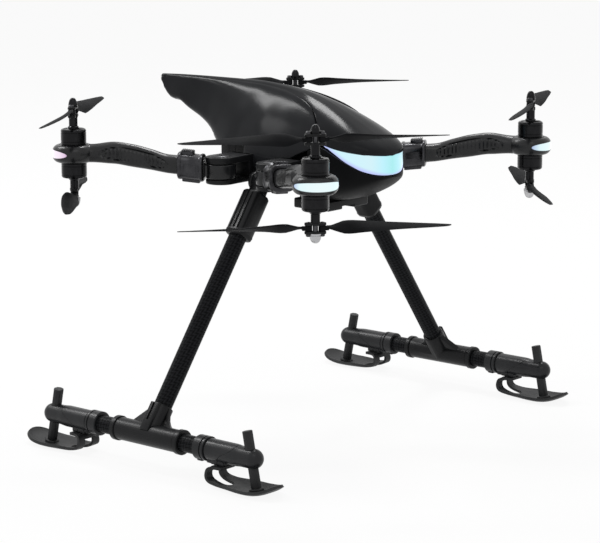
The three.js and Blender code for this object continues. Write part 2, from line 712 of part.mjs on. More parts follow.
// Locking sleeve that slides along the straight root of the arm
function lockSleeve() {
  const halfW = arm.rootWidth / 2;
  const halfH = arm.rootHeight / 2;
  const lip = sleeve.lip;
  const start = sleeve.start;
  const end = start + sleeve.length;
  const ringAt = ([x, grow]) => ovalRing(x, 0, rootRise(x), halfW + grow, halfH + grow, sleeve.power, arm.ringPoints);
  const outside = loft([[start, sleeve.edge], [start + sleeve.lipEase, sleeve.wall], [start + lip, sleeve.wall],
    [start + lip + sleeve.lipEase, sleeve.waist], [end - lip, sleeve.waist], [end - lip + sleeve.lipEase, sleeve.wall],
    [end, sleeve.edge]].map(ringAt));
  const bore = loft([[start - overrun, runGap], [end + overrun, runGap]].map(ringAt));
  const keel = box(start + lip, end - lip, -sleeve.tabWidth / 2, sleeve.tabWidth / 2,
    -halfH - sleeve.wall - sleeve.keel, -halfH - runGap);
  let tab = solid(box(end - sleeve.tabLength, end - lip, -sleeve.tabWidth / 2, sleeve.tabWidth / 2, halfH + runGap,
    halfH + sleeve.wall + sleeve.tabHeight));
  const pitch = (sleeve.tabLength - lip) / sleeve.ribs;
  for (let i = 0; i < sleeve.ribs; i++) {
    const x = end - sleeve.tabLength + pitch * (i + 0.5);
    const groove = box(x - pitch / 4, x + pitch / 4, -sleeve.tabWidth, sleeve.tabWidth,
      halfH + sleeve.wall + sleeve.tabHeight / 2, halfH + sleeve.wall + sleeve.tabHeight + overrun);
    tab = tab.subtract(solid(groove));
  }
  tab = tab.add(solid(keel));
  const tilt = new THREE.Matrix4().makeShear(0, arm.rootSlope, 0, 0, 0, 0);
  const data = tab.getMesh();
  const leaning = new THREE.BufferGeometry();
  leaning.setAttribute("position", new THREE.BufferAttribute(new Float32Array(data.vertProperties), 3));
  leaning.setIndex(new THREE.BufferAttribute(new Uint32Array(data.triVerts), 1));
  leaning.applyMatrix4(tilt);
  return outside.add(solid(leaning)).subtract(bore);
}

// Rotor: motor bell, shaft, folding hub and spinner, about the shaft with the propeller plane at z = 0.
// The bell hangs below the plane.
function rotorBody(planeRise, spinnerRadius, bladeAngle) {
  const bellBottom = -(planeRise - pod.halfHeight - runGap);
  const bellTop = bellBottom + motor.canHeight;
  const r = motor.radius;
  const wall = motor.canWall;
  let made = solid(revolve([[0, bellTop - wall], [r - wall, bellTop - wall], [r - wall, bellBottom], [r, bellBottom],
    [r, bellTop - wall], [r - wall, bellTop], [0, bellTop]], rounds.middle));
  for (let i = 0; i < motor.windows; i++) {
    const slot = box(motor.shaftRadius + wall, r - 2 * wall, -motor.windowWidth / 2, motor.windowWidth / 2,
      bellTop - 2 * wall, bellTop + wall);
    made = made.subtract(solid(slot.rotateZ(((i + 0.5) / motor.windows) * 2 * Math.PI)));
  }
  const plateTop = hub.clearHalf + hub.plate;
  made = made.add(solid(rod(motor.shaftRadius, bellTop - wall, -hub.clearHalf - hub.plate / 2, rounds.tiny)));
  const turn = bladeAngle * degrees;
  const stadium = new THREE.Shape();
  stadium.absarc(hub.pivot, 0, hub.plateRadius, -Math.PI / 2, Math.PI / 2, false);
  stadium.absarc(-hub.pivot, 0, hub.plateRadius, Math.PI / 2, Math.PI * 1.5, false);
  stadium.closePath();
  made = made.add(solid(plate(stadium, -plateTop, -hub.clearHalf, 2).rotateZ(turn)));
  made = made.add(solid(plate(stadium, hub.clearHalf, plateTop, 2).rotateZ(turn)));
  for (const end of [-1, 1]) {
    const pin = revolve([[0, -plateTop], [hub.pinRadius, -plateTop], [hub.pinRadius, hub.clearHalf + hub.plate / 2],
      [hub.screwRadius, hub.clearHalf + hub.plate / 2], [hub.screwRadius, plateTop + hub.screwHeight],
      [0, plateTop + hub.screwHeight]], rounds.tiny);
    made = made.add(solid(pin.translate(end * hub.pivot, 0, 0).rotateZ(turn)));
  }
  const spinner = [[0, 0], [spinnerRadius, 0]];
  for (let i = 1; i <= hub.spinnerSteps; i++) {
    const angle = (i / hub.spinnerSteps) * (Math.PI / 2);
    const across = i < hub.spinnerSteps ? spinnerRadius * Math.cos(angle) ** hub.spinnerPower : 0;
    spinner.push([across, hub.spinnerHeight * Math.sin(angle)]);
  }
  return made.add(solid(revolve(spinner, rounds.tiny).translate(0, 0, plateTop - hub.plate / 4)));
}

// One folding blade in its own frame: the hinge pin is the origin and the tip points to +X.
// turnSense is 1 for blades that go anticlockwise seen from above, and -1 for the others.
const rootShare = (hub.pivot + blade.rootStart) / blade.radius;
const bladeShares = [
  // radius, chord, sweep along the chord, thickening
  [rootShare, 0.32, 0, 2.3],
  [0.12, 0.45, 0, 2],
  [0.22, 0.9, 0.02, 1.4],
  [0.36, 1, 0.05, 1],
  [0.6, 0.83, 0.04, 1],
  [0.88, 0.5, -0.08, 1],
  [1, 0.07, -0.34, 1],
];
// Section of the blade, along the chord and up through its thickness
const airfoilShares = [[-0.5, 0], [0.05, 1], [0.5, 0.1], [0.05, -0.35]];

function bladeBody(turnSense) {
  const rings = bladeShares.map(([radiusShare, chordShare, sweepShare, thickeningShare], index) => {
    const radius = blade.radius * radiusShare;
    const chord = blade.chord * chordShare;
    const twist = index < 2 ? blade.rootTwist * degrees : Math.atan(blade.pitch / (2 * Math.PI * radius));
    const thick = Math.max(chord * blade.thicknessShare, blade.edge) * thickeningShare;
    return airfoilShares.map(([alongShare, upShare]) => {
      const along = (alongShare + sweepShare) * chord * turnSense;
      const up = upShare * thick;
      const y = along * Math.cos(twist) - up * Math.sin(twist) * turnSense;
      const z = along * Math.sin(twist) * turnSense + up * Math.cos(twist);
      return new THREE.Vector3(radius - hub.pivot, y, z);
    });
  });
  const eye = rod(hub.lugRadius, -blade.lugHalf, blade.lugHalf, rounds.small);
  const bore = rod(hub.pinRadius + seatGap, -2 * blade.lugHalf, 2 * blade.lugHalf, rounds.tiny);
  return loft(rings).add(solid(eye)).subtract(solid(bore));
}

// Leg pieces in the frame of the leg: the hinge is the origin and the leg runs down along -Z
const legRun = Math.hypot(leg.skidX - leg.hingeX, leg.hingeZ - leg.skidZ);
const legTilt = Math.atan2(leg.skidX - leg.hingeX, leg.hingeZ - leg.skidZ);

function legSocket() {
  const h = leg.socketHalf;
  const ring = (z, grow) => ovalRing(0, 0, 0, h + grow, h + grow, leg.socketPower, rounds.middle)
    .map((p) => new THREE.Vector3(p.z, p.y, z));
  const chamfer = leg.grooveDepth;
  let made = loft([ring(-leg.socketStart, -chamfer), ring(-leg.socketStart - chamfer, 0),
    ring(-leg.socketEnd + 2 * chamfer, 0), ring(-leg.socketEnd, -chamfer)]);
  for (let i = 0; i < leg.grooves; i++) {
    const y = (i - (leg.grooves - 1) / 2) * leg.groovePitch;
    const groove = box(h - leg.grooveDepth, h + overrun, y - leg.grooveWidth / 2, y + leg.grooveWidth / 2,
      -leg.socketEnd + 3 * chamfer, -leg.socketStart - chamfer);
    made = made.subtract(solid(groove));
  }
  const latch = box(-h - leg.latchHeight, -h + chamfer, -leg.latchWidth / 2, leg.latchWidth / 2,
    -leg.latchEnd, -leg.socketStart - chamfer);
  made = made.add(solid(latch));
  const eye = rod(leg.eyeRadius, -leg.eyeWidth / 2, leg.eyeWidth / 2, rounds.large).rotateX(90 * degrees);
  const web = box(-leg.webHalf, leg.webHalf, -leg.eyeWidth / 2, leg.eyeWidth / 2,
    -leg.socketStart - chamfer, 0);
  const pinBore = rod(frame.legPinRadius + seatGap, -leg.eyeWidth, leg.eyeWidth, rounds.middle).rotateX(90 * degrees);
  const tubeBore = rod(leg.tubeRadius + seatGap, -leg.socketEnd - overrun, -leg.socketEnd + leg.socketBore,
    rounds.middle);
  return made.add(solid(eye)).add(solid(web)).subtract(solid(pinBore)).subtract(solid(tubeBore));
}

function legTube() {
  const top = -leg.socketEnd + leg.socketBore - seatGap;
  const bottom = -legRun + skid.teeRadius + leg.tubeInset;
  const inner = leg.tubeRadius - leg.tubeWall;
  const tube = solid(rod(leg.tubeRadius, bottom, top, rounds.middle));
  return tube.subtract(solid(rod(inner, bottom - overrun, top + overrun, rounds.middle)));
}

// Tee that clamps the leg tube on the skid tube, in the frame of the leg
function skidTee() {
  const r = skid.teeRadius;
  const foot = -legRun;
  const lie = (geometry) => geometry.rotateX(90 * degrees).rotateY(legTilt).translate(0, 0, foot);
  let made = solid(lie(rod(r, -skid.teeHalf, skid.teeHalf, rounds.large)));
  for (const end of [-1, 1]) {
    const y0 = end * skid.teeHalf - end * skid.teeRing;
    const y1 = end * skid.teeHalf;
    made = made.add(solid(lie(rod(r + skid.ringProud, Math.min(y0, y1), Math.max(y0, y1), rounds.large))));
  }
  made = made.add(solid(rod(r, foot, foot + skid.teeRise, rounds.large)));
  const low = foot + skid.gussetLow;
  const high = foot + skid.gussetHigh;
  const gusset = [[-skid.gussetFoot, low], [skid.gussetFoot, low], [skid.gussetTop, high], [-skid.gussetTop, high]];
  made = made.add(solid(upright(gusset, -skid.gusset / 2, skid.gusset / 2)));
  const channel = box(skid.channelStart, r + skid.ringProud, -skid.channelHalf, skid.channelHalf, foot, foot + skid.teeRise);
  made = made.add(solid(channel));
  const groove = box(r + skid.ringProud - skid.gusset / 2, r + overrun, -skid.channelHalf / 3, skid.channelHalf / 3,
    foot + r, foot + skid.teeRise + overrun);
  made = made.subtract(solid(groove));
  const legBore = rod(leg.tubeRadius + seatGap, foot + r + leg.tubeInset - seatGap, foot + skid.teeRise + overrun,
    rounds.middle);
  const skidBore = lie(rod(skid.tubeRadius + seatGap, -skid.teeHalf - overrun, skid.teeHalf + overrun, rounds.middle));
  return made.subtract(solid(legBore)).subtract(solid(skidBore));
}

// Skid pieces lie along Y about the middle of the skid
function skidTube() {
  const half = skid.halfLength - skid.tipRadius - leg.tubeInset;
  const tube = solid(rod(skid.tubeRadius, -half, half, rounds.middle));
  const bare = tube.subtract(solid(rod(skid.tubeRadius - leg.tubeWall, -half - overrun, half + overrun,
    rounds.middle)));
  const data = bare.getMesh();
  const geometry = new THREE.BufferGeometry();
  geometry.setAttribute("position", new THREE.BufferAttribute(new Float32Array(data.vertProperties), 3));
  geometry.setIndex(new THREE.BufferAttribute(new Uint32Array(data.triVerts), 1));
  return solid(geometry.rotateX(90 * degrees));
}

// Foot: clamp on the end of the skid tube, in a frame where +Y runs outwards along the skid
function postGeometry(grow, z0, z1) {
  const w = ski.postWidth / 2 + grow;
  const d = ski.postDepth / 2 + grow;
  const c = ski.postCorner;
  const outline = [[-w + c, -d], [w - c, -d], [w, -d + c], [w, d - c], [w - c, d], [-w + c, d], [-w, d - c],
    [-w, -d + c]];
  const lean = ski.postTilt * degrees;
  return plate(outline, (z0 - leg.skidZ) / Math.cos(lean), (z1 - leg.skidZ) / Math.cos(lean))
    .rotateX(lean).translate(0, ski.postY, leg.skidZ);
}

function footClamp() {
  const tip = skid.tipRadius;
  const start = skid.clampStart;
  const neck = start + skid.collarLength;
  const profile = [[0, start], [skid.collarRadius, start], [skid.collarRadius, neck],
    [skid.clampRadius, neck + 2 * seatGap], [skid.clampRadius, skid.taperStart], [tip, skid.taperEnd],
    [tip, skid.halfLength]];
  for (let i = 1; i <= skid.tipSteps; i++) {
    const angle = (i / skid.tipSteps) * (Math.PI / 2);
    profile.push([i < skid.tipSteps ? tip * Math.cos(angle) : 0, skid.halfLength + tip * Math.sin(angle)]);
  }
  let made = solid(revolve(profile, rounds.middle).rotateX(-90 * degrees).translate(0, 0, leg.skidZ));
  const boss = box(-skid.bossHalf, skid.bossHalf, ski.rootY - ski.rootBoss, ski.rootY + ski.rootBoss,
    leg.skidZ - skid.clampRadius - skid.bossProud, leg.skidZ - skid.clampRadius / 2);
  made = made.add(solid(boss));
  const depth = skid.halfLength - skid.tipRadius - leg.tubeInset + seatGap;
  const bore = rod(skid.tubeRadius + seatGap, start - overrun, depth, rounds.middle).rotateX(-90 * degrees)
    .translate(0, 0, leg.skidZ);
  const hole = postGeometry(seatGap, 0, 2 * ski.postTopZ);
  return made.subtract(solid(bore)).subtract(solid(hole));
}

// Ski with its spring leaf and post
function skiBody() {
  const rootZ = leg.skidZ - skid.clampRadius - skid.bossProud - seatGap;
  const t = ski.leaf;
  const side = new THREE.Shape();
  const backY = ski.rootY - ski.rootBoss;
  const frontY = ski.rootY + ski.rootBoss;
  const kneeZ = ski.kneeZ;
  side.moveTo(ski.tipY, ski.tipZ);
  side.quadraticCurveTo(ski.tipY - ski.curl, 0, ski.soleY, 0);
  side.quadraticCurveTo(backY + 4 * t, 0, backY, kneeZ);
  side.quadraticCurveTo(backY - t / 4, rootZ, backY + t, rootZ);
  side.lineTo(frontY, rootZ);
  side.lineTo(frontY, rootZ - t);
  side.lineTo(backY + 2 * t, rootZ - t);
  side.quadraticCurveTo(backY + t, rootZ - t, backY + t, kneeZ);
  side.quadraticCurveTo(backY + 5 * t, t, ski.soleY, t);
  side.quadraticCurveTo(ski.tipY - ski.curl, t, ski.tipY - t / 2, ski.tipZ + t);
  side.closePath();
  const profile = solid(upright(side, -ski.width, ski.width, ski.steps));
  const plan = new THREE.Shape();
  const wide = ski.width / 2;
  const narrow = ski.rootWidth / 2;
  const inY = backY - overrun;
  plan.moveTo(-narrow, inY);
  plan.lineTo(-narrow, backY + t);
  plan.bezierCurveTo(-wide, ski.flareY, -wide, ski.soleY, -wide, ski.widestY);
  plan.bezierCurveTo(-wide, ski.noseY, -narrow, ski.tipY, 0, ski.tipY + t);
  plan.bezierCurveTo(narrow, ski.tipY, wide, ski.noseY, wide, ski.widestY);
  plan.bezierCurveTo(wide, ski.soleY, wide, ski.flareY, narrow, backY + t);
  plan.lineTo(narrow, inY);
  plan.closePath();
  let made = profile.intersect(solid(plate(plan, -overrun, leg.skidZ, ski.steps)));
  const slot = box(-ski.slotWidth / 2, ski.slotWidth / 2, inY, ski.slotEnd, -overrun, rootZ - 2 * t);
  made = made.subtract(solid(slot));
  return made.add(solid(postGeometry(0, t / 2, ski.postTopZ)));
}

const group = new THREE.Group();
group.add(mesh("chassis", chassis(), colours.satin, 0.55));
group.add(mesh("top_canopy", topCanopy(), colours.shell, 0.35));
group.add(mesh("fin_shell", finShell(), colours.shell, 0.35));
group.add(mesh("nose_light", noseLight(), colours.iceLight, 0.4));
group.add(mesh("belly_hull", bellyHull(), colours.satin, 0.5));
group.add(mesh("battery", batteryPack(), colours.satin, 0.6));
group.add(mesh("avionics", electronics(), colours.satin, 0.7));
group.add(mesh("payload_mount", payloadMount(), colours.satin, 0.5));

// Directions of the blades at rest, in degrees from X, as [upper, lower]; the upper rotor of a front
// left or rear right arm turns anticlockwise
const corners = {
  front_right: { side: -1, end: -1, rest: [-37, -41], sense: -1 },
  front_left: { side: 1, end: -1, rest: [27, 44], sense: 1 },
  rear_right: { side: -1, end: 1, rest: [32.6, 42], sense: 1 },
  rear_left: { side: 1, end: 1, rest: [-42, -38], sense: -1 },
};

const armSolid = armBody();
const lightSolid = podLight();
const sleeveSolid = lockSleeve();
const bladeSolids = { 1: bladeBody(1), "-1": bladeBody(-1) };

for (const [corner, { side, end, rest, sense }] of Object.entries(corners)) {
  const armGroup = new THREE.Group();
  const spread = arm.spreadAngle * degrees;
  const heading = Math.atan2(end * Math.sin(spread), side * Math.cos(spread));
  armGroup.position.set(side * arm.pinX, end * arm.pinY, arm.pinZ);
  armGroup.rotation.z = heading;
  armGroup.add(mesh(`arm_${corner}`, armSolid, colours.gloss, 0.3));
  armGroup.add(mesh(`lock_sleeve_${corner}`, sleeveSolid, colours.satin, 0.4));
  armGroup.add(mesh(`pod_light_${corner}`, lightSolid, end < 0 ? colours.iceLight : colours.roseLight, 0.4));
  group.add(armGroup);
  ["upper", "lower"].forEach((level, index) => {
    const up = index === 0;
    const rotorGroup = new THREE.Group();
    rotorGroup.position.set(arm.reach, 0, pod.rise + (up ? motor.upperPlaneRise : -motor.lowerPlaneDrop));
    rotorGroup.rotation.z = rest[index] * degrees - heading;
    armGroup.add(rotorGroup);
    const rotor = mesh(`rotor_${level}_${corner}`,
      rotorBody(up ? motor.upperPlaneRise : motor.lowerPlaneDrop, up ? hub.spinnerRadius : hub.lowerSpinnerRadius, 0),
      colours.bell, 0.3, 0.6);
    rotor.rotation.x = up ? 0 : Math.PI;
    rotorGroup.add(rotor);
    ["a", "b"].forEach((letter, half) => {
      const bladeGroup = new THREE.Group();
      bladeGroup.rotation.z = half * Math.PI;
      const made = mesh(`blade_${level}_${corner}_${letter}`, bladeSolids[up ? sense : -sense], colours.blade, 0.5);
      made.position.x = hub.pivot;
      bladeGroup.add(made);
      rotorGroup.add(bladeGroup);
    });
  });
}

const socketSolid = legSocket();
const legTubeSolid = legTube();
const teeSolid = skidTee();
const skidTubeSolid = skidTube();
const clampSolid = footClamp();
const skiSolid = skiBody();

for (const [sideName, side] of [["right", -1], ["left", 1]]) {
  const sideGroup = new THREE.Group();
  sideGroup.position.y = leg.y;
  sideGroup.rotation.z = side > 0 ? 0 : Math.PI;
  group.add(sideGroup);
  const legGroup = new THREE.Group();
  legGroup.position.set(leg.hingeX, 0, leg.hingeZ);
  legGroup.rotation.y = -legTilt;
  sideGroup.add(legGroup);
  legGroup.add(mesh(`leg_socket_${sideName}`, socketSolid, colours.satin, 0.45));
  legGroup.add(mesh(`leg_tube_${sideName}`, legTubeSolid, colours.carbon, 0.4));
  legGroup.add(mesh(`skid_tee_${sideName}`, teeSolid, colours.satin, 0.5));
  const tube = mesh(`skid_tube_${sideName}`, skidTubeSolid, colours.carbon, 0.4);
  tube.position.set(leg.skidX, 0, leg.skidZ);
  sideGroup.add(tube);
  for (const end of [-1, 1]) {
    const footGroup = new THREE.Group();
    footGroup.position.x = leg.skidX;
    footGroup.rotation.z = end > 0 ? 0 : Math.PI;
    sideGroup.add(footGroup);
    const place = side * end > 0 ? "rear" : "front";
    footGroup.add(mesh(`foot_clamp_${place}_${sideName}`, clampSolid, colours.satin, 0.5));
    footGroup.add(mesh(`ski_${place}_${sideName}`, skiSolid, colours.satin, 0.5));
  }
}

export default group;
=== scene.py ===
# Folding camera drone with eight coaxial rotors on tall legs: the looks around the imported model.
# Metres, Z up, the nose points to -Y. Sizes in the dictionaries are millimetres, and mm turns them into metres.
import bpy
import bmesh
import math
from mathutils import Matrix, Vector


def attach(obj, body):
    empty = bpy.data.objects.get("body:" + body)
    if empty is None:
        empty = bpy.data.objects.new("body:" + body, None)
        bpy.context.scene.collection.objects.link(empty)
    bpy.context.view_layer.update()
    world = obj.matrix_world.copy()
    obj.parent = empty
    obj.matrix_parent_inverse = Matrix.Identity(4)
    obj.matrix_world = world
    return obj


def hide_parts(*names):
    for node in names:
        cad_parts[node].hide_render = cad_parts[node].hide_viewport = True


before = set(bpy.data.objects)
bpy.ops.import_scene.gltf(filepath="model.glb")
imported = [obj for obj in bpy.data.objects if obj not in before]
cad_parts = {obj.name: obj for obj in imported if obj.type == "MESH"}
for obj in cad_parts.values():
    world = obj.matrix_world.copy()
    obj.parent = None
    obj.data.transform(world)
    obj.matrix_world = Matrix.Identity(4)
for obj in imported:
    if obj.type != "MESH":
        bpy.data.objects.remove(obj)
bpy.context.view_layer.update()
mm = 0.001
corners = {  # side and end of each arm, rest turn of its two propellers, the way the upper one spins, and its light
    "front_right": {"side": -1, "end": -1, "rest": (-37, -41), "sense": -1, "lamp": "ice"},
    "front_left": {"side": 1, "end": -1, "rest": (27, 44), "sense": 1, "lamp": "ice"},
    "rear_right": {"side": -1, "end": 1, "rest": (32.6, 42), "sense": 1, "lamp": "rose"},
    "rear_left": {"side": 1, "end": 1, "rest": (-42, -38), "sense": -1, "lamp": "rose"},
}


# Modelling helpers: sizes come in as millimetres, angles as degrees

def deselect():
    if bpy.context.mode != "OBJECT":
        bpy.ops.object.mode_set(mode="OBJECT")
    bpy.ops.object.select_all(action="DESELECT")


def pick(obj):
    deselect()
    obj.select_set(True)
    bpy.context.view_layer.objects.active = obj


def edit(obj):
    pick(obj)
    bpy.ops.object.mode_set(mode="EDIT")
    bpy.ops.mesh.select_all(action="SELECT")


def named(name):
    obj = bpy.context.view_layer.objects.active
    obj.name = name
    return obj


def placePoints(obj, points):
    for vertex, point in zip(obj.data.vertices, points):
        vertex.co = Vector(point) * mm


def tidyMesh(obj, gap=1e-6, sides=0):
    # merges doubles, closes holes of up to so many sides, and turns the faces outwards
    edit(obj)
    bpy.ops.mesh.remove_doubles(threshold=gap)
    if sides:
        bpy.ops.mesh.fill_holes(sides=sides)
    bpy.ops.mesh.normals_make_consistent(inside=False)
    bpy.ops.object.mode_set(mode="OBJECT")
    return obj


def smooth(obj, angle):
    pick(obj)
    bpy.ops.object.shade_smooth_by_angle(angle=math.radians(angle))
    return obj


def modify(obj, kind, **settings):
    pick(obj)
    modifier = obj.modifiers.new(kind.title(), kind)
    for key, value in settings.items():
        setattr(modifier, key, value)
    bpy.ops.object.modifier_apply(modifier=modifier.name)
    return obj


def bevel(obj, width, segments=2, angle=30):
    return modify(obj, "BEVEL", width=width * mm, segments=segments, limit_method="ANGLE",
                  angle_limit=math.radians(angle), harden_normals=False)


def boolean(obj, tool, operation="DIFFERENCE"):
    modify(obj, "BOOLEAN", object=tool, operation=operation, solver="EXACT")
    bpy.data.objects.remove(tool)
    return obj


def thicken(obj, wall, edge=0.5):
    # gives an open skin its wall inwards and rounds its rims
    modify(obj, "SOLIDIFY", thickness=wall * mm, offset=-1, use_even_offset=False)
    return bevel(obj, edge, 2, 50)


def joined(pieces, name):
    deselect()
    for piece in pieces:
        piece.select_set(True)
    bpy.context.view_layer.objects.active = pieces[0]
    bpy.ops.object.join()
    pieces[0].name = name
    return pieces[0]


def turned(angle, axis="Z"):
    return Matrix.Rotation(math.radians(angle), 4, axis)


def shifted(x, y, z):
    return Matrix.Translation((x * mm, y * mm, z * mm))


def placed(obj, matrix):
    obj.data.transform(matrix)
    return obj


def moved(obj, offset=(0, 0, 0), turn=0, axis="Z"):
    return placed(obj, Matrix.Translation(Vector(offset) * mm) @ turned(turn, axis))


def painted(obj, look):
    obj.data.materials.append(look)
    return obj


def twin(obj, name, matrix):
    copy = obj.copy()
    copy.data = obj.data.copy()
    copy.name = name
    bpy.context.scene.collection.objects.link(copy)
    copy.data.transform(matrix)
    if matrix.determinant() < 0:
        copy.data.flip_normals()
    return copy


def lathe(name, profile, steps=48, closed=False):
    # a profile of (radius, height) spun round Z
    bpy.ops.mesh.primitive_circle_add(vertices=len(profile), radius=mm)
    obj = named(name)
    placePoints(obj, [(r, 0, z) for r, z in profile])
    edit(obj)
    if not closed:
        mesh = bmesh.from_edit_mesh(obj.data)
        mesh.verts.ensure_lookup_table()
        ends = {mesh.verts[0], mesh.verts[len(profile) - 1]}
        mesh.edges.remove(next(e for e in mesh.edges if set(e.verts) == ends))
        bmesh.update_edit_mesh(obj.data)
    bpy.ops.mesh.select_all(action="SELECT")
    bpy.ops.mesh.spin(steps=steps, angle=2 * math.pi, center=(0, 0, 0), axis=(0, 0, 1))
    return tidyMesh(obj, 2e-6)


def slab(name, outline, bottom, top, edge=0, segments=2):
    # a flat outline in XY raised from bottom to top
    bpy.ops.mesh.primitive_circle_add(vertices=len(outline), radius=mm, fill_type="NGON")
    obj = named(name)
    placePoints(obj, [(x, y, bottom) for x, y in outline])
    edit(obj)
    bpy.ops.mesh.extrude_region_move(TRANSFORM_OT_translate={"value": (0, 0, (top - bottom) * mm)})
    tidyMesh(obj)
    return bevel(obj, edge, segments) if edge else obj


def block(name, low, high, edge=0, segments=2):
    size = [b - a for a, b in zip(low, high)]
    middle = [(a + b) / 2 for a, b in zip(low, high)]
    bpy.ops.mesh.primitive_cube_add(size=mm, location=[0, 0, 0])
    obj = placed(named(name), Matrix.Translation(Vector(middle) * mm) @ Matrix.Diagonal((*size, 1)))
    return bevel(obj, edge, segments) if edge else obj


def drum(name, radius, bottom, top, edge=0, steps=32, segments=2):
    bpy.ops.mesh.primitive_cylinder_add(vertices=steps, radius=radius * mm, depth=(top - bottom) * mm)
    obj = placed(named(name), Matrix.Translation((0, 0, (top + bottom) / 2 * mm)))
    return bevel(obj, edge, segments) if edge else obj


def wrap(name, rows, ring=True):
    # a skin through rows of points; a ring joins its last column to the first and is capped
    tall, wide = len(rows), len(rows[0])
    columns = wide if ring else wide - 1
    bpy.ops.mesh.primitive_grid_add(x_subdivisions=columns, y_subdivisions=tall - 1, size=mm)
    obj = named(name)
    placePoints(obj, [row[i % wide] for row in rows for i in range(columns + 1)])
    if ring:
        edit(obj)
        bpy.ops.mesh.remove_doubles(threshold=1e-6)
        bpy.ops.mesh.fill_holes(sides=0)
    return tidyMesh(obj)


# Lines and outlines

def spread(start, stop, count):
    return [start + (stop - start) * i / (count - 1) for i in range(count)]


def cosSin(angle):
    return math.cos(math.radians(angle)), math.sin(math.radians(angle))


def arc(x, y, reachX, reachY, start, stop, count):
    return [(x + reachX * c, y + reachY * s) for c, s in map(cosSin, spread(start, stop, count))]


def squareRing(x, y, z, halfY, halfZ, power, count):
    # superellipse in a plane square to X
    ring = []
    for i in range(count):
        angle = (i + 0.5) / count * 2 * math.pi
        c, s = math.cos(angle), math.sin(angle)
        ring.append((x, y + math.copysign(abs(c) ** (2 / power), c) * halfY,
                     z + math.copysign(abs(s) ** (2 / power), s) * halfZ))
    return ring


def straight(table, at):
    # a table read with straight lines between its rows
    for a, b in zip(table, table[1:]):
        if at <= b[0]:
            return a[1] + (b[1] - a[1]) * max(at - a[0], 0) / (b[0] - a[0])
    return table[-1][1]


def along(table, at, column=1):
    # smooth curve through the rows of a table, read by its first column
    keys = [row[0] for row in table]
    at = min(max(at, keys[0]), keys[-1])
    i = max(k for k in range(len(keys) - 1) if keys[k] <= at)
    a, b = table[i], table[i + 1]
    width = b[0] - a[0]

    def slope(k):
        if 0 < k < len(table) - 1:
            left = (table[k][column] - table[k - 1][column]) / (keys[k] - keys[k - 1])
            right = (table[k + 1][column] - table[k][column]) / (keys[k + 1] - keys[k])
            return 0 if left * right <= 0 else 2 * left * right / (left + right)
        other = 1 if k == 0 else len(table) - 2
        return (table[other][column] - table[k][column]) / (keys[other] - keys[k])

    t = (at - a[0]) / width
    rise = b[column] - a[column]
    first, second = slope(i) * width, slope(i + 1) * width
    return (a[column] + first * t + (3 * rise - 2 * first - second) * t * t
            + (first + second - 2 * rise) * t ** 3)


def travel(line):
    # how far along a line each of its points lies
    lengths = [0.0]
    for a, b in zip(line, line[1:]):
        lengths.append(lengths[-1] + math.dist(a, b))
    return lengths


def evenly(line, count):
    # the same line in even steps
    lengths = travel(line)
    result = []
    for step in spread(0, lengths[-1], count):
        k = max(i for i in range(len(lengths) - 1) if lengths[i] <= step + 1e-9)
        t = (step - lengths[k]) / max(lengths[k + 1] - lengths[k], 1e-9)
        result.append(tuple(a + (b - a) * t for a, b in zip(line[k], line[k + 1])))
    return result


def finish(obj, body, look, slotName, node, angle=0):
    # gives a piece its material, rides it on its body and puts it in place of its CAD node
    if angle:
        smooth(obj, angle)
    if look and not obj.data.materials:
        painted(obj, look)
    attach(obj, body)
    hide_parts(node)
    return obj


# Materials: one small class writes shader sums as plain expressions

class Wire:
    def __init__(self, tree, socket=None):
        self.tree = tree
        self.socket = socket

    def add(self, kind, settings=None, inputs=None, out=0):
        node = self.tree.nodes.new("ShaderNode" + kind)
        for key, value in (settings or {}).items():
            if key == "stops":
                ramp = node.color_ramp
                while len(ramp.elements) < len(value):
                    ramp.elements.new(0.5)
                for element, (spot, colour) in zip(ramp.elements, value):
                    element.position = spot
                    element.color = (*colour, 1)
            else:
                setattr(node, key, value)
        for key, value in (inputs or {}).items():
            self.feed(node.inputs[key], value)
        return Wire(self.tree, node.outputs[out])

    def feed(self, socket, value):
        if isinstance(value, Wire):
            self.tree.links.new(value.socket, socket)
        elif socket.type == "RGBA" and len(value) == 3:
            socket.default_value = (*value, 1)
        else:
            socket.default_value = value

    def maths(self, operation, *values):
        return self.add("Math", {"operation": operation}, dict(enumerate(values)))

    def sine(self):
        return self.maths("SINE", self)

    def __add__(self, other):
        return self.maths("ADD", self, other)

    def __sub__(self, other):
        return self.maths("SUBTRACT", self, other)

    def __rsub__(self, other):
        return self.maths("SUBTRACT", other, self)

    def __mul__(self, other):
        return self.maths("MULTIPLY", self, other)

    def __gt__(self, other):
        return self.maths("GREATER_THAN", self, other)

    __radd__ = __add__
    __rmul__ = __mul__

    def between(self, low, high, first=0.0, last=1.0):
        return self.add("MapRange", {}, {0: self, 1: low, 2: high, 3: first, 4: last})

    def mixed(self, first, second):
        # self is the share of the second colour
        return self.add("Mix", {"data_type": "RGBA"}, {0: self, 6: first, 7: second}, out=2)

    def axes(self):
        node = self.add("SeparateXYZ", inputs={0: self}).socket.node
        return [Wire(self.tree, output) for output in node.outputs]

    def facing(self, direction):
        return self.add("VectorMath", {"operation": "DOT_PRODUCT"}, {0: self, 1: direction}, out=1)


def noise(place, scale, detail=3.0, roughness=0.5):
    return place.add("TexNoise", {}, {"Vector": place, "Scale": scale, "Detail": detail, "Roughness": roughness})


def stretched(place, scale):
    return place.add("Mapping", {}, {"Vector": place, "Scale": scale})


def bump(place, height, strength, distance):
    return place.add("Bump", {}, {"Height": height, "Strength": strength, "Distance": distance})


def material(name, paint, **constants):
    made = bpy.data.materials.new(name)
    made.use_nodes = True
    shader = made.node_tree.nodes["Principled BSDF"]
    start = Wire(made.node_tree)
    place = start.add("TexCoord", out=3)
    for socket, value in {**constants, **paint(place)}.items():
        start.feed(shader.inputs[socket.replace("_", " ")], value)
    return made


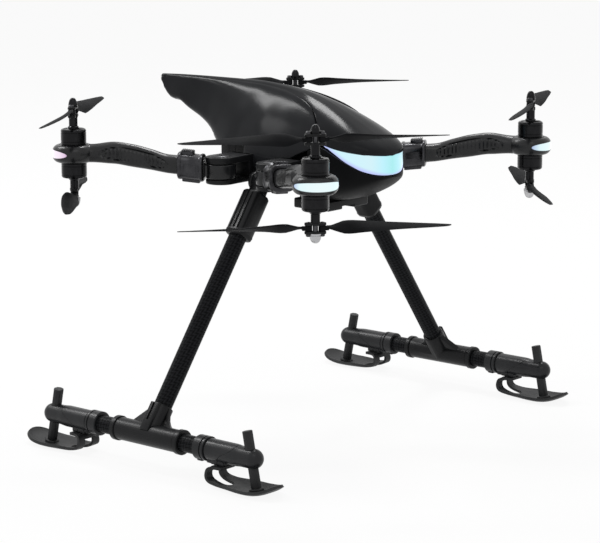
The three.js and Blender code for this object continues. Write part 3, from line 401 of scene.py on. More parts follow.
mouldings = {  # near-black plastics: colours, roughness range, grain per metre and its depth, and strength of the shine
    "shell_gloss": {"dark": (0.0145, 0.0151, 0.0167), "pale": (0.0195, 0.0202, 0.0222), "rough": (0.15, 0.19),
                    "grain": 2600, "depth": 0.00001, "shine": 0.055},
    "arm_gloss": {"dark": (0.0062, 0.0064, 0.0072), "pale": (0.0105, 0.0109, 0.012), "rough": (0.25, 0.31),
                  "grain": 2400, "depth": 0.000015, "shine": 0.32},
    "satin_black": {"dark": (0.0062, 0.0064, 0.007), "pale": (0.0115, 0.0119, 0.0128), "rough": (0.28, 0.36),
                    "grain": 1900, "depth": 0.00003, "shine": 0.15},
    "foot_grey": {"dark": (0.013, 0.0135, 0.0148), "pale": (0.023, 0.0237, 0.0256), "rough": (0.26, 0.34),
                  "grain": 1900, "depth": 0.00003, "shine": 0.2},
    "tub_black": {"dark": (0.0042, 0.0044, 0.0048), "pale": (0.0075, 0.0077, 0.0082), "rough": (0.38, 0.48),
                  "grain": 1900, "depth": 0.00003, "shine": 0.05},
}


def moulding(name):
    look = mouldings[name]

    def paint(place):
        cloud = noise(place, 34, 4)
        grain = noise(place, look["grain"], 2, 0.6)
        return {
            "Base Color": cloud.between(0.3, 0.7).mixed(look["dark"], look["pale"]),
            "Roughness": cloud.between(0.25, 0.75, *look["rough"]) + grain.between(0.3, 0.7, -0.02, 0.02),
            "Normal": bump(place, grain, 0.5, look["depth"]),
        }

    return material(name, paint, Specular_IOR_Level=look["shine"])


metals = {  # colours, roughness range, lathe rings per metre and share of metal
    "bell_anodised": {"dark": (0.009, 0.009, 0.01), "pale": (0.016, 0.016, 0.0175), "rough": (0.16, 0.24),
                      "rings": 4200, "metal": 0.8},
    "sleeve_anodised": {"dark": (0.035, 0.035, 0.038), "pale": (0.06, 0.06, 0.064), "rough": (0.2, 0.3),
                        "rings": 4200, "metal": 0.9},
    "steel_dark": {"dark": (0.05, 0.05, 0.053), "pale": (0.1, 0.1, 0.105), "rough": (0.25, 0.38),
                   "rings": 2600, "metal": 1.0},
    # pale alloy of the contacts and screws; on the lower spinners it is painted light, the dark anodised spinner drawn
    # pale for the floor's glow from below
    "pale_alloy_and_lit_spinner": {"dark": (0.45, 0.45, 0.46), "pale": (0.6, 0.6, 0.61), "rough": (0.22, 0.34),
                   "rings": 3400, "metal": 1.0},
    "copper_wire": {"dark": (0.45, 0.17, 0.08), "pale": (0.7, 0.3, 0.14), "rough": (0.3, 0.45),
                    "rings": 9000, "metal": 1.0},
}


def metal(name):
    look = metals[name]

    def paint(place):
        lathed = noise(stretched(place, (40, 40, look["rings"])), 1, 2)
        scuff = noise(place, 120, 5, 0.65)
        return {
            "Base Color": scuff.between(0.45, 0.8).mixed(look["dark"], look["pale"]),
            "Roughness": lathed.between(0.3, 0.7, *look["rough"]) + scuff.between(0.4, 0.8, 0, 0.06),
            "Normal": bump(place, lathed, 0.3, 0.00002),
        }

    return material(name, paint, Metallic=look["metal"])


twill = {"pitch": 0.0034, "low": (0.003, 0.0032, 0.0036), "high": (0.017, 0.0176, 0.0195), "fibres": (3000, 260, 1)}


def carbonPaint(flat):
    # twill over a flat pattern: two crossing sets of tows, each shaded by where it dives under the other
    x, y, _ = flat.axes()
    pitch = 2 * math.pi / twill["pitch"]
    over = ((x + y) * (pitch / 2)).sine() > 0
    weave = over * (x * pitch).sine() + (1 - over) * (y * pitch).sine()
    fibre = noise(stretched(flat, twill["fibres"]), 1, 2)
    return {
        "Base Color": weave.between(-1, 1).mixed(twill["low"], twill["high"]),
        "Roughness": weave.between(-1, 1, 0.42, 0.3) + fibre.between(0.3, 0.7, -0.05, 0.05),
        "Normal": bump(flat, weave + fibre * 0.4, 0.5, 0.0001),
    }


def bladePaint(place):
    streak = noise(stretched(place, (900, 900, 300)), 1, 3)
    return {
        "Base Color": noise(place, 60, 3).between(0.3, 0.7).mixed((0.0075, 0.0077, 0.0085), (0.013, 0.0133, 0.0145)),
        "Roughness": streak.between(0.3, 0.7, 0.5, 0.6),
        "Normal": bump(place, streak, 0.3, 0.00002),
    }


def rubberPaint(place):
    speck = noise(place, 1500, 4, 0.7)
    wear = noise(place, 45, 5, 0.6)
    return {
        "Base Color": wear.between(0.4, 0.75).mixed((0.0125, 0.0129, 0.0138), (0.026, 0.0266, 0.028)),
        "Roughness": wear.between(0.3, 0.7, 0.45, 0.58),
        "Normal": bump(place, speck, 0.4, 0.00004),
    }


def boardPaint(place):
    mask = noise(place, 220, 2) > 0.52
    return {"Base Color": mask.mixed((0.01, 0.03, 0.02), (0.02, 0.06, 0.035)), "Roughness": mask * 0.2 + 0.4}


lights = {  # ramps of the lit diffusers, from their ends or from the tip of the nose
    "ice": [(0, (0.2, 0.25, 0.5)), (0.22, (0.5, 0.62, 0.82)), (0.5, (0.76, 0.95, 0.98)), (1, (0.84, 0.97, 0.98))],
    "rose": [(0, (0.36, 0.22, 0.36)), (0.22, (0.8, 0.6, 0.8)), (0.5, (0.95, 0.82, 0.94)), (1, (0.96, 0.9, 0.98))],
    "nose": [(0, (0.4, 0.86, 0.88)), (0.25, (0.52, 0.9, 1.0)), (0.5, (0.66, 0.9, 0.97)), (0.85, (0.64, 0.92, 1.0)),
             (1, (0.6, 0.78, 1.0))],
    "edge": (0.54, 0.6, 1.0), "edgeRise": (0.3008, 0.3038), "halfSpan": 0.044,
}


def lensRoughness(place):
    return noise(place, 90, 3).between(0.3, 0.7, 0.24, 0.3)


def lensPaint(centre, outward, reach, stops):
    # palest where the diffuser faces outwards, deeper towards its ends
    def paint(place):
        facing = place.facing(outward) - sum(a * b for a, b in zip(centre, outward))
        return {
            "Roughness": lensRoughness(place),
            "Emission Color": place.add("ValToRGB", {"stops": stops}, {0: facing.between(0, reach)}),
        }
    return paint


def nosePaint(place):
    # greenest at the tip, lilac along the lower edge
    x, _, _ = place.axes()
    sweep = x.maths("ABSOLUTE", x).between(0, lights["halfSpan"])
    tone = place.add("ValToRGB", {"stops": lights["nose"]}, {0: sweep})
    rise = place.facing((0, -0.6, 1))
    return {
        "Roughness": lensRoughness(place),
        "Emission Color": rise.between(*lights["edgeRise"]).mixed(lights["edge"], tone),
    }


shellGloss = moulding("shell_gloss")
armGloss = moulding("arm_gloss")
satinBlack = moulding("satin_black")
footGrey = moulding("foot_grey")
tubBlack = moulding("tub_black")
bellBlack = metal("bell_anodised")
sleeveGrey = metal("sleeve_anodised")
steelDark = metal("steel_dark")
paleAlloyAndLitSpinner = metal("pale_alloy_and_lit_spinner")
copperWire = metal("copper_wire")
bladeBlack = material("blade_black", bladePaint, Specular_IOR_Level=0.02)
rubberBlack = material("rubber_black", rubberPaint, Specular_IOR_Level=0.26)
boardGreen = material("board_green", boardPaint)
noseLens = material("nose_lens", nosePaint, Base_Color=(0.04, 0.05, 0.055), Specular_IOR_Level=0.2,
                    Emission_Strength=0.94)
print("materials ready")


# Hull skin: stations are shares of its length, heights shares of skirt to ridge, widths shares of half the width
hull = {
    "noseY": -102, "tailY": 176, "noseCentreY": -52, "skirtZ": 238.5, "ridgeZ": 312.5, "flankZ": 252,
    "halfWidth": 47.5, "wall": 2.2, "gap": 0.35, "noseShare": 0.181, "noseEase": 0.9945, "cornerShare": 0.168,
    "closedShare": 0.68, "bandWall": 3.2, "bandInset": 1.3, "bandStop": 84.5,
    "ridge": [(0, 0.25), (0.004, 0.31), (0.02, 0.375), (0.06, 0.468), (0.1, 0.545), (0.15, 0.64), (0.21, 0.745),
              (0.28, 0.85), (0.36, 0.93), (0.45, 0.975), (0.56, 1), (0.75, 0.995), (0.9, 0.985), (1, 0.97)],
    "width": [(0.181, 1), (0.24, 1.02), (0.3, 1.03), (0.42, 1), (0.5, 0.9), (0.58, 0.75), (0.67, 0.52),
              (0.74, 0.34), (0.82, 0.22), (0.9, 0.15), (1, 0.07)],
    "floor": [(0, 0), (0.49, 0), (0.56, 0.08), (0.62, 0.17), (0.68, 0.27), (0.717, 0.35), (0.779, 0.47),
              (0.851, 0.58), (0.906, 0.68), (0.938, 0.69), (0.967, 0.77), (0.986, 0.89), (1, 0.94)],
    "floorWidth": [(0, 0.97), (0.67, 0.95), (0.7, 0.7), (0.76, 0.4), (1, 0.35)],
    "seamWidth": [(0, 0.45), (0.1, 0.55), (0.2, 0.48), (0.3, 0.34), (0.4, 0.23), (0.55, 0.15), (0.7, 0.1),
                  (0.8, 0.075), (0.9, 0.055), (1, 0.035)],
    "seam": [(0.168, 0.38), (0.185, 0.434), (0.2, 0.506), (0.22, 0.6), (0.24, 0.678), (0.27, 0.755), (0.3, 0.805),
             (0.34, 0.853), (0.38, 0.888), (0.42, 0.914), (0.48, 0.94), (0.55, 0.958), (0.65, 0.964), (0.8, 0.962),
             (0.9, 0.952), (1.02, 0.93)],
    "bandTop": [(-0.02, 0.24), (0.04, 0.283), (0.1, 0.322), (0.168, 0.38)],
    "bandBottom": [(-0.02, 0.0), (0.01, 0.03), (0.04, 0.085), (0.065, 0.15), (0.085, 0.2), (0.12, 0.285),
                   (0.15, 0.345), (0.168, 0.375)],
    "skirt": [(0.168, 0.38), (0.24, 0.26), (0.31, 0.12), (0.38, 0.02), (0.45, 0), (0.475, 0.06), (0.487, 0.26),
              (0.69, 0.26)],
    # knots of a section: share of the way out, share of the way down
    "crown": (0.6, 0.026), "shoulder": (0.22, 0.14), "flank": (0.64, 0.52), "widest": (0.14, 0.3),
}
hullLength = hull["tailY"] - hull["noseY"]
hullHeight = hull["ridgeZ"] - hull["skirtZ"]


def hullY(share):
    return hull["noseY"] + hullLength * share


def hullZ(share):
    return hull["skirtZ"] + hullHeight * share


def noseShares(stop, count):
    # stations that crowd towards the round tip
    return [hull["noseShare"] * (1 - math.cos(math.radians(a))) * hull["noseEase"] for a in spread(1.5, stop, count)]


def hullHalfWidth(y):
    if y < hull["noseCentreY"]:
        reach = (hull["noseCentreY"] - y) / (hull["noseCentreY"] - hull["noseY"])
        return hull["halfWidth"] * math.sqrt(max(1 - reach * reach, 0))
    return hull["halfWidth"] * along(hull["width"], (y - hull["noseY"]) / hullLength)


def hullCurve(share, inset=0, steps=160):
    # half a section from the ridge to the floor, as (x, z) at even steps
    width = max(hullHalfWidth(hullY(share)) - inset, 0.02)
    floor = hullZ(along(hull["floor"], share))
    ridge = max(hullZ(along(hull["ridge"], share)) - inset, floor + 1)
    seamWidth = min(hull["halfWidth"] * along(hull["seamWidth"], share), width)
    tall = ridge - floor
    wide = max(floor + tall * hull["widest"][0], min(hull["flankZ"], floor + tall * hull["widest"][1]))
    crown, shoulder, flank = hull["crown"], hull["shoulder"], hull["flank"]
    knots = [(0, ridge), (seamWidth * crown[0], ridge - tall * crown[1]),
             (seamWidth + (width - seamWidth) * shoulder[0], ridge - tall * shoulder[1]),
             (seamWidth + (width - seamWidth) * flank[0], ridge - (ridge - wide) * flank[1]), (width, wide),
             (width * along(hull["floorWidth"], share), floor)]
    last = len(knots) - 1
    line = []
    for i in range(steps + 1):
        p = last * i / steps
        k = min(int(p), last - 1)
        t = p - k
        around = [knots[max(k - 1, 0)], knots[k], knots[k + 1], knots[min(k + 2, last)]]
        spot = []
        for c in (0, 1):
            p0, p1, p2, p3 = (point[c] for point in around)
            v0, v1 = (p2 - p0) / 2, (p3 - p1) / 2
            spot.append((2 * p1 - 2 * p2 + v0 + v1) * t ** 3 + (-3 * p1 + 3 * p2 - 2 * v0 - v1) * t * t + v0 * t + p1)
        line.append(tuple(spot))
    return line


def hullSlice(share, high, low, count, inset=0):
    # points of the section between two heights, evenly spread along it; None runs to the end
    line = hullCurve(share, inset)

    def station(height, fallback):
        if height is None:
            return fallback
        for i, (a, b) in enumerate(zip(line, line[1:])):
            if a[1] >= height >= b[1]:
                return i + (a[1] - height) / max(a[1] - b[1], 1e-9)
        return 0.0 if height > line[0][1] else len(line) - 1.0

    def at(p):
        k = min(int(p), len(line) - 2)
        t = p - k
        return (line[k][0] + (line[k + 1][0] - line[k][0]) * t, line[k][1] + (line[k + 1][1] - line[k][1]) * t)

    first, last = station(high, 0.0), station(low, len(line) - 1.0)
    cuts = [first] + [float(i) for i in range(math.ceil(first + 1e-6), math.ceil(last - 1e-6))] + [last]
    return evenly([at(p) for p in cuts], count)


def mirrored(row):
    return [(-x, y, z) for x, y, z in row]


# canopy: from seam to seam over the ridge, and down to the light band at the nose
rows = []
for share in noseShares(90, 16) + spread(0.19, 0.998, 66):
    edge = along(hull["bandTop"] if share < hull["cornerShare"] else hull["seam"], share)
    side = [(x, hullY(share), z) for x, z in hullSlice(share, None, hullZ(edge) + hull["gap"], 20)]
    rows.append(mirrored(reversed(side)) + side[1:])
canopy = thicken(wrap("topCanopy", rows, ring=False), hull["wall"])
finish(canopy, "airframe", shellGloss, "gloss_shell", "top_canopy", 40)

# side shells, which close under the tail into the fin
rows = []
for share in (spread(0.1685, 0.24, 12) + spread(0.255, 0.45, 14) + [0.462, 0.475, 0.48, 0.487, 0.5]
              + spread(0.515, 1.0, 36)):
    low = straight(hull["skirt"], share) if share < 0.48 else along(hull["skirt"], share)
    low = hullZ(low) if share < hull["closedShare"] else None
    side = hullSlice(share, hullZ(along(hull["seam"], share)) - hull["gap"], low, 26)
    rows.append([(x, hullY(share), z) for x, z in side])
leftSide = wrap("sideShell", rows, ring=False)
rightSide = twin(leftSide, "sideShellRight", Matrix.Diagonal((-1, 1, 1, 1)))
under = []
for share in spread(0.69, 1.0, 24):
    x, z = hullSlice(share, hullZ(0.5), None, 3)[-1]
    under.append([(x * (1 - 2 * t), hullY(share), z) for t in spread(0, 1, 9)])
tailFloor = wrap("tailFloor", under, ring=False)
sideShell = tidyMesh(joined([leftSide, rightSide, tailFloor], "finShell"), 3e-4)
finish(thicken(sideShell, hull["wall"]), "airframe", shellGloss, "gloss_shell", "fin_shell", 40)

# light band round the nose
rows = []
for share in noseShares(hull["bandStop"], 34):
    top = hullZ(along(hull["bandTop"], share)) - hull["gap"]
    low = min(hullZ(along(hull["bandBottom"], share)) + hull["gap"], top - 0.4)
    rows.append([(x, hullY(share), z) for x, z in hullSlice(share, top, low, 9, hull["bandInset"])])
noseBand = wrap("noseLight", [mirrored(row) for row in reversed(rows)] + rows, ring=False)
finish(thicken(noseBand, hull["bandWall"], 0.6), "airframe", noseLens, "ice_lens", "nose_light", 50)

# chin bowl and belly under the frame
belly = {
    "depth": 24.5, "sill": 228.7, "frontY": -42.3, "inside": 0.97, "taper": 0.5, "roundX": 0.75, "roundZ": 0.85,
    "deep": [(0, 0.02), (0.01, 0.12), (0.04, 0.4), (0.09, 0.72), (0.14, 0.94), (0.18, 1), (0.24, 0.96),
             (0.32, 0.75), (0.45, 0.62), (0.6, 0.4)],
    "top": [(0, 0.03), (0.01, 0.03), (0.04, 0.085), (0.065, 0.15), (0.085, 0.2), (0.12, 0.285), (0.15, 0.345),
            (0.168, 0.37), (0.2, 0.33), (0.22, 0.3)],
}
rows = []
for share in noseShares(90, 16) + [0.19, 0.2, 0.21, 0.2145] + spread(0.2151, 0.6, 26):
    y = hullY(share)
    width = max(hullHalfWidth(y) * (belly["inside"] - max(share - hull["noseShare"], 0) * belly["taper"]), 0.3)
    deep = belly["depth"] * along(belly["deep"], share)
    ahead = y < belly["frontY"]
    top = hullZ(along(belly["top"], share)) - hull["gap"] if ahead else belly["sill"]
    bowl = [(width * c ** belly["roundX"], hull["skirtZ"] - deep * s ** belly["roundZ"])
            for c, s in map(cosSin, spread(0, 90, 22))]
    if ahead:
        half = [(width, z) for z in spread(top, hull["skirtZ"], 5)[:-1]] + bowl
    elif bowl[-1][1] > top - 0.5:
        half = [(width, top), (0, top - 0.5)]
    else:
        first = next(i for i, p in enumerate(bowl) if p[1] < top)
        a, b = bowl[first - 1], bowl[first]
        t = (a[1] - top) / (a[1] - b[1])
        half = [(a[0] + (b[0] - a[0]) * t, top)] + bowl[first:]
    side = [(x, y, z) for x, z in evenly(half, 24)]
    rows.append(side + mirrored(reversed(side[:-1])))
chin = thicken(wrap("bellyHull", rows, ring=False), hull["wall"])
finish(chin, "airframe", tubBlack, "satin_shell", "belly_hull", 40)
print("hull done")

# Arms: made once about the hinge pin, X outwards, then copied to the four corners
arm = {
    "pinX": 79.2, "pinY": 29.9, "pinZ": 241, "spread": 57, "reach": 133.3, "rootWidth": 17, "rootHeight": 16.4,
    "slope": 0.1, "slopeEnd": 46.9, "crown": 1.9, "screw": 101, "pinBore": 4.5,
    "knuckleRadius": 13.5, "knuckleDrop": 7.3, "knuckleRise": 5.7, "neck": ((0, -7.65, -5.3), (14.3, 7.65, 4.7)),
    # x, rise, half width, half height, squareness
    "stations": [(14, 1.4, 8.5, 8.2, 3.4), (27, 2.7, 8.5, 8.2, 3.4), (46.9, 4.69, 8.5, 8.2, 3.4),
                 (62.7, 8.32, 8.25, 9.18, 3.1), (80, 11.6, 8.1, 10.1, 2.9), (97.3, 13.8, 8.1, 9.8, 2.9),
                 (114.6, 13.2, 9.35, 8.2, 3.0), (128, 12.8, 12.75, 7.8, 3.1)],
    "crownFrom": 40, "crownTo": 128, "crownFade": 12,
}
grip = {"middle": 77.4, "half": 32, "tall": 6.5, "sink": 0.8, "rim": 0.8, "rib": 0.7, "pitch": 3.55,
        "lip": 0.86, "round": 2.6, "bare": 7}
pod = {"radius": 19.5, "half": 8, "seat": 12.4, "rise": 12.8, "lensHalf": 4.1, "lensStart": 2, "inset": 0.35,
       "seatIn": 12.05, "seatOut": 12.75}
heart = (arm["reach"], 0, pod["rise"])


def armMatrix(corner):
    turn = math.radians(arm["spread"])
    heading = math.atan2(corner["end"] * math.sin(turn), corner["side"] * math.cos(turn))
    spot = Vector((corner["side"] * arm["pinX"], corner["end"] * arm["pinY"], arm["pinZ"])) * mm
    return Matrix.Translation(spot) @ Matrix.Rotation(heading, 4, "Z"), heading


def gripSink(x, y, z, rise, wide):
    # how deep the grip lies under the flank: a rim round a ribbed hollow
    u, v = (x - grip["middle"]) / grip["half"], (z - rise) / grip["tall"]
    far = math.sqrt(abs(u) ** grip["round"] + v * v)
    if far >= 1 or abs(y) <= wide * 0.55:
        return 0
    sink = grip["sink"] * min((1 - far) / 0.09, 1)
    if far > grip["lip"]:
        return sink + grip["rim"] * math.sin((far - grip["lip"]) / (1 - grip["lip"]) * math.pi)
    out = x - grip["middle"]
    fade = min(max((abs(out) - grip["bare"]) / 4, 0.35), 1) * min((grip["lip"] - far) / 0.1, 1)
    return sink - grip["rib"] * fade * max(math.cos(out / grip["pitch"] * 2 * math.pi), -0.2)


def armRow(x, count=52):
    rise, wide, tall, power = (along(arm["stations"], x, c) for c in (1, 2, 3, 4))
    if x < arm["slopeEnd"]:
        rise = x * arm["slope"]
    share = (min(max((x - arm["crownFrom"]) / arm["crownFade"], 0), 1)
             * min(max((arm["crownTo"] - x) / arm["crownFade"], 0), 1))
    ring = []
    for (_, y, z), (_, roundY, roundZ) in zip(squareRing(x, 0, rise, wide, tall, power, count),
                                              squareRing(x, 0, rise, wide, tall, arm["crown"], count)):
        if z > rise:  # rounder on top than below
            y, z = y + (roundY - y) * share, z + (roundZ - z) * share
        ring.append((x, y - math.copysign(gripSink(x, y, z, rise, wide), y), z))
    return ring


def podDisc(name, grow=0.0):
    r, h, seat = pod["radius"] + grow, pod["half"] + grow, pod["seat"]
    side = [(seat + (r - seat) * max(c, 0) ** 0.8, h * s) for c, s in map(cosSin, spread(-90, 90, 18))]
    profile = [(0, -h), (seat - 1.2, -h), (seat - 0.6, -h)] + side + [(seat - 0.6, h), (seat - 1.2, h), (0, h)]
    return moved(lathe(name, profile, 72), heart)


def mouthPrism(shrink):
    # half an ellipse from the motor axis out past the rim, seen from the side
    reach, rise = pod["radius"] + 5, pod["lensHalf"] - shrink
    outline = arc(arm["reach"] + reach, pod["rise"], -(reach - pod["lensStart"] - shrink), rise, -90, 90, 33)
    return tidyMesh(placed(slab("mouth", outline, -40, 40), turned(90, "X")))


stops = ([14, 17, 20, 24, 28, 32, 36, 39, 41.5, 43.5] + spread(45, 110, 118)
         + [112, 114.5, 117, 119.5, 122, 124.5, 127, 128])
boom = wrap("arm", [armRow(x) for x in stops])
knuckle = drum("knuckle", arm["knuckleRadius"], -arm["knuckleDrop"], arm["knuckleRise"], 1.0, 64, 3)
neck = block("neck", *arm["neck"], 1.0, 3)
for piece in (podDisc("pod"), neck, knuckle):
    boolean(boom, piece, "UNION")
boolean(boom, mouthPrism(0))
for upDown in (-1, 1):  # a shallow groove under each motor base
    low, high = sorted(pod["rise"] + upDown * (pod["half"] + depth) for depth in (-0.35, 1))
    profile = [(pod["seatIn"], low), (pod["seatOut"], low), (pod["seatOut"], high), (pod["seatIn"], high)]
    boolean(boom, moved(lathe("seatGroove", profile, 72, closed=True), (arm["reach"], 0, 0)))
boolean(boom, drum("pinBore", arm["pinBore"], -20, 20, steps=40))
painted(tidyMesh(boom, 2e-5, sides=4), armGloss)

stator = {
    "base": [(0, 0), (10.6, 0), (10.6, 0.35), (9.2, 0.5), (4, 1.2), (4, 10.2), (0, 10.2)],
    "core": [(3.4, 3.2), (4.8, 3.2), (4.8, 9.6), (3.4, 9.6)],
    "coil": ((4.6, -1.25, 2.6), (8.1, 1.25, 9.8)), "shoe": ((7.9, -2.1, 3.2), (8.5, 2.1, 9.4)), "poles": 9,
    "screw": [(0, 0.7), (0.9, 0.7), (0.9, 0.1), (1.6, 0.1), (2.0, 0.35), (2.0, 1.2), (0, 1.2)],
}
details = []
for upDown in (-1, 1):  # motor base, stator core and windings, which turn nowhere
    pieces = [painted(lathe("motorBase", stator["base"], 48), bellBlack),
              painted(lathe("statorCore", stator["core"], 32, closed=True), steelDark)]
    for i in range(stator["poles"]):
        turn = i * 360 / stator["poles"]
        pieces.append(painted(moved(block("coil", *stator["coil"], 0.8, 3), turn=turn), copperWire))
        pieces.append(painted(moved(block("shoe", *stator["shoe"], 0.1, 1), turn=turn), steelDark))
    whole = joined(pieces, "stator")
    if upDown < 0:
        placed(whole, turned(180, "X"))
    details.append(moved(whole, (arm["reach"], 0, pod["rise"] + upDown * pod["half"])))
low = along(arm["stations"], arm["screw"], 1) - along(arm["stations"], arm["screw"], 3)
details.append(moved(painted(lathe("screw", stator["screw"], 24), steelDark), (arm["screw"], 0, low - 0.15)))
boom = smooth(joined([boom] + details, "armMaster"), 35)

lens = podDisc("lensMaster", -pod["inset"])
boolean(lens, mouthPrism(0.3), "INTERSECT")
boolean(lens, moved(drum("lensCore", 6, -20, 20, steps=48), heart))
smooth(bevel(tidyMesh(lens, 1e-5), 0.25, 2, 50), 40)

# Lock sleeve with its thumb tab and keel
sleeve = {"start": 14.6, "length": 23.4, "rim": 3.7, "half": 5.5, "keelDeep": 5.6, "tabLength": 14, "tabTall": 6.4,
          "ribs": 6, "clear": 0.5, "cheek": 11.9}
start, length, rim = sleeve["start"], sleeve["length"], sleeve["rim"]
end = start + length
halfTall = arm["rootHeight"] / 2


def sleeveRow(x, grow):
    return squareRing(x, 0, x * arm["slope"], arm["rootWidth"] / 2 + grow, arm["rootHeight"] / 2 + grow, 3.2, 56)


outer = [(0, 1.6), (0.25, 2.9), (0.9, 3.75), (1.8, 4.0), (2.9, 3.9), (rim, 3.35), (rim + 0.5, 3.1),
         (length - rim - 0.5, 3.1), (length - rim, 3.35), (length - 2.9, 3.9), (length - 1.2, 3.95),
         (length - 0.4, 3.5), (length, 2.6)]
collar = wrap("sleeveMaster", [sleeveRow(start + x, grow) for x, grow in outer])
keel = block("keel", (start + rim, -sleeve["half"], -halfTall - sleeve["keelDeep"]),
             (end - rim, sleeve["half"], -halfTall - 1), 0.9, 3)
tabStart = end - sleeve["tabLength"]
tab = block("tab", (tabStart, -sleeve["half"], halfTall + 1),
            (end - rim + 0.4, sleeve["half"], halfTall + sleeve["tabTall"]), 0.8, 3)
pitch = (sleeve["tabLength"] - rim) / sleeve["ribs"]
for i in range(sleeve["ribs"]):
    x = tabStart + pitch * (i + 0.5)
    boolean(tab, block("groove", (x - pitch / 4, -9, halfTall + 5.2), (x + pitch / 4, 9, halfTall + 9)))
lean = Matrix(((1, 0, 0, 0), (0, 1, 0, 0), (arm["slope"], 0, 1, 0), (0, 0, 0, 1)))
for piece in (keel, tab):
    boolean(collar, placed(piece, lean), "UNION")
boolean(collar, wrap("sleeveBore", [sleeveRow(x, sleeve["clear"]) for x in (start - 5, end + 5)]))
for side in (-1, 1):  # long recess along each cheek
    y = side * sleeve["cheek"]
    boolean(collar, placed(block("recess", (start + 6, y - 0.5, -3.2), (end - 6, y + 0.5, 3.2), 0.3, 1), lean))
smooth(tidyMesh(collar, 1e-5), 35)

for corner, facts in corners.items():
    matrix, heading = armMatrix(facts)
    body = f"arm_{corner}"
    finish(twin(boom, f"{body}_dressed", matrix), body, None, "gloss_shell", body)
    lensLook = lensPaint(matrix @ (Vector(heart) * mm), (math.cos(heading), math.sin(heading), 0),
                         pod["radius"] * mm, lights[facts["lamp"]])
    glow = material(f"glow_{corner}", lensLook, Base_Color=(0.05, 0.055, 0.06), Specular_IOR_Level=0.2,
                    Emission_Strength=0.95)
    finish(twin(lens, f"lens_{corner}", matrix), body, glow, f"{facts['lamp']}_lens", f"pod_light_{corner}")
    finish(twin(collar, f"sleeve_{corner}", matrix), f"sleeve_{corner}", sleeveGrey, "satin_shell",
           f"lock_sleeve_{corner}")
for master in (boom, lens, collar):
    bpy.data.objects.remove(master)
print("arms done")

# Rotors: motor bell, neck, folding hub and spinner about the shaft, the propeller plane at 0
motor = {"radius": 11.4, "can": 13.6, "wall": 1.3, "neck": 3.9, "rise": {"upper": 37.1, "lower": 36.4}, "windows": 6}
hub = {"pivot": 5.7, "plateRadius": 3.4, "clear": 2.5, "plate": 2.2, "screw": 2.3, "screwTall": 2.2, "capTall": 8.4}


def rotorMaster(level, cap, capLook):
    low = -(motor["rise"][level] - pod["half"] - 0.5)
    top = low + motor["can"]
    r, w = motor["radius"], motor["wall"]
    profile = [(2, top - w), (r - w - 0.6, top - w), (r - w, top - w - 0.6), (r - w, low), (r - 0.35, low),
               (r, low + 0.35), (r, low + 2.1), (r - 0.3, low + 2.3), (r - 0.3, low + 2.7), (r, low + 2.9),
               (r, top - 3.4), (r - 0.35, top - 3.2), (r - 0.35, top - 2.8), (r, top - 2.6), (r - 0.05, top - 1.6),
               (r - 0.7, top - 0.5), (r - 1.8, top - 0.05), (r - 2.6, top), (5.6, top + 0.5), (2, top + 0.5)]
    bell = lathe("bell", profile, 72, closed=True)
    for i in range(motor["windows"]):
        slot = block("window", (5.4, -1.9, top - 4), (9.4, 1.9, top + 3), 0.9, 3)
        boolean(bell, moved(slot, turn=i * 360 / motor["windows"]))
    inner, outer = r - w - 1.1, r - w + 0.1
    magnets = lathe("magnets", [(inner, low + 0.8), (outer, low + 0.8), (outer, top - 3.6), (inner, top - 3.6)], 28,
                    closed=True)
    profile = [(0, top - 2), (2.6, top - 2), (2.6, top), (4.9, top + 0.2), (4.9, top + 1.6),
               (motor["neck"], top + 2.4), (motor["neck"], -4.9), (4.3, -4.75), (4.3, -2.6), (0, -2.6)]
    parts = [painted(bell, bellBlack), painted(magnets, steelDark), painted(lathe("neck", profile, 40), bellBlack),
             painted(drum("column", 2.2, -3, 3, steps=24), steelDark)]
    outline = arc(hub["pivot"], 0, hub["plateRadius"], hub["plateRadius"], -90, 90, 17)
    outline += [(-x, -y) for x, y in outline]
    for bottom in (-hub["clear"] - hub["plate"], hub["clear"]):
        parts.append(painted(slab("hubPlate", outline, bottom, bottom + hub["plate"], 0.35), satinBlack))
    top = hub["clear"] + hub["plate"]
    head = top + hub["screwTall"]
    for side in (-1, 1):
        pin = drum("pin", 1.4, -top - 0.6, hub["clear"] + 0.5, 0.2, 20, 1)
        screw = lathe("screw", [(0, top + 1.0), (1.15, top + 1.0), (1.15, head), (1.7, head),
                                (hub["screw"], head - 0.6), (hub["screw"], top - 0.4), (0, top - 0.4)], 24)
        parts += [painted(moved(piece, (side * hub["pivot"], 0, 0)), steelDark) for piece in (pin, screw)]
    profile = [(0, top - 0.5), (cap, top - 0.5), (cap, top + 0.7), (cap - 0.5, top + 0.9), (cap - 0.5, top + 1.2),
               (cap, top + 1.4)]
    profile += [(cap * c ** 0.75, top - 0.55 + hub["capTall"] * s ** 1.08) for c, s in map(cosSin, spread(14, 84, 12))]
    spinner = lathe("spinner", profile + [(0, top - 0.55 + hub["capTall"])], 40)
    for vertex in spinner.data.vertices:  # two flats for a spanner
        if top + 1.6 < vertex.co.z / mm < top + 4.4:
            vertex.co.x = max(min(vertex.co.x, (cap - 0.55) * mm), (0.55 - cap) * mm)
    parts.append(painted(spinner, capLook))
    return smooth(joined(parts, f"{level}Rotor"), 35)


# the lower spinners take the pale alloy as painted light: they are dark anodised like the upper ones, drawn pale for
# the glow of the floor under them
rotorMasters = {"upper": rotorMaster("upper", 4.2, bellBlack), "lower": rotorMaster("lower", 5.2, paleAlloyAndLitSpinner)}

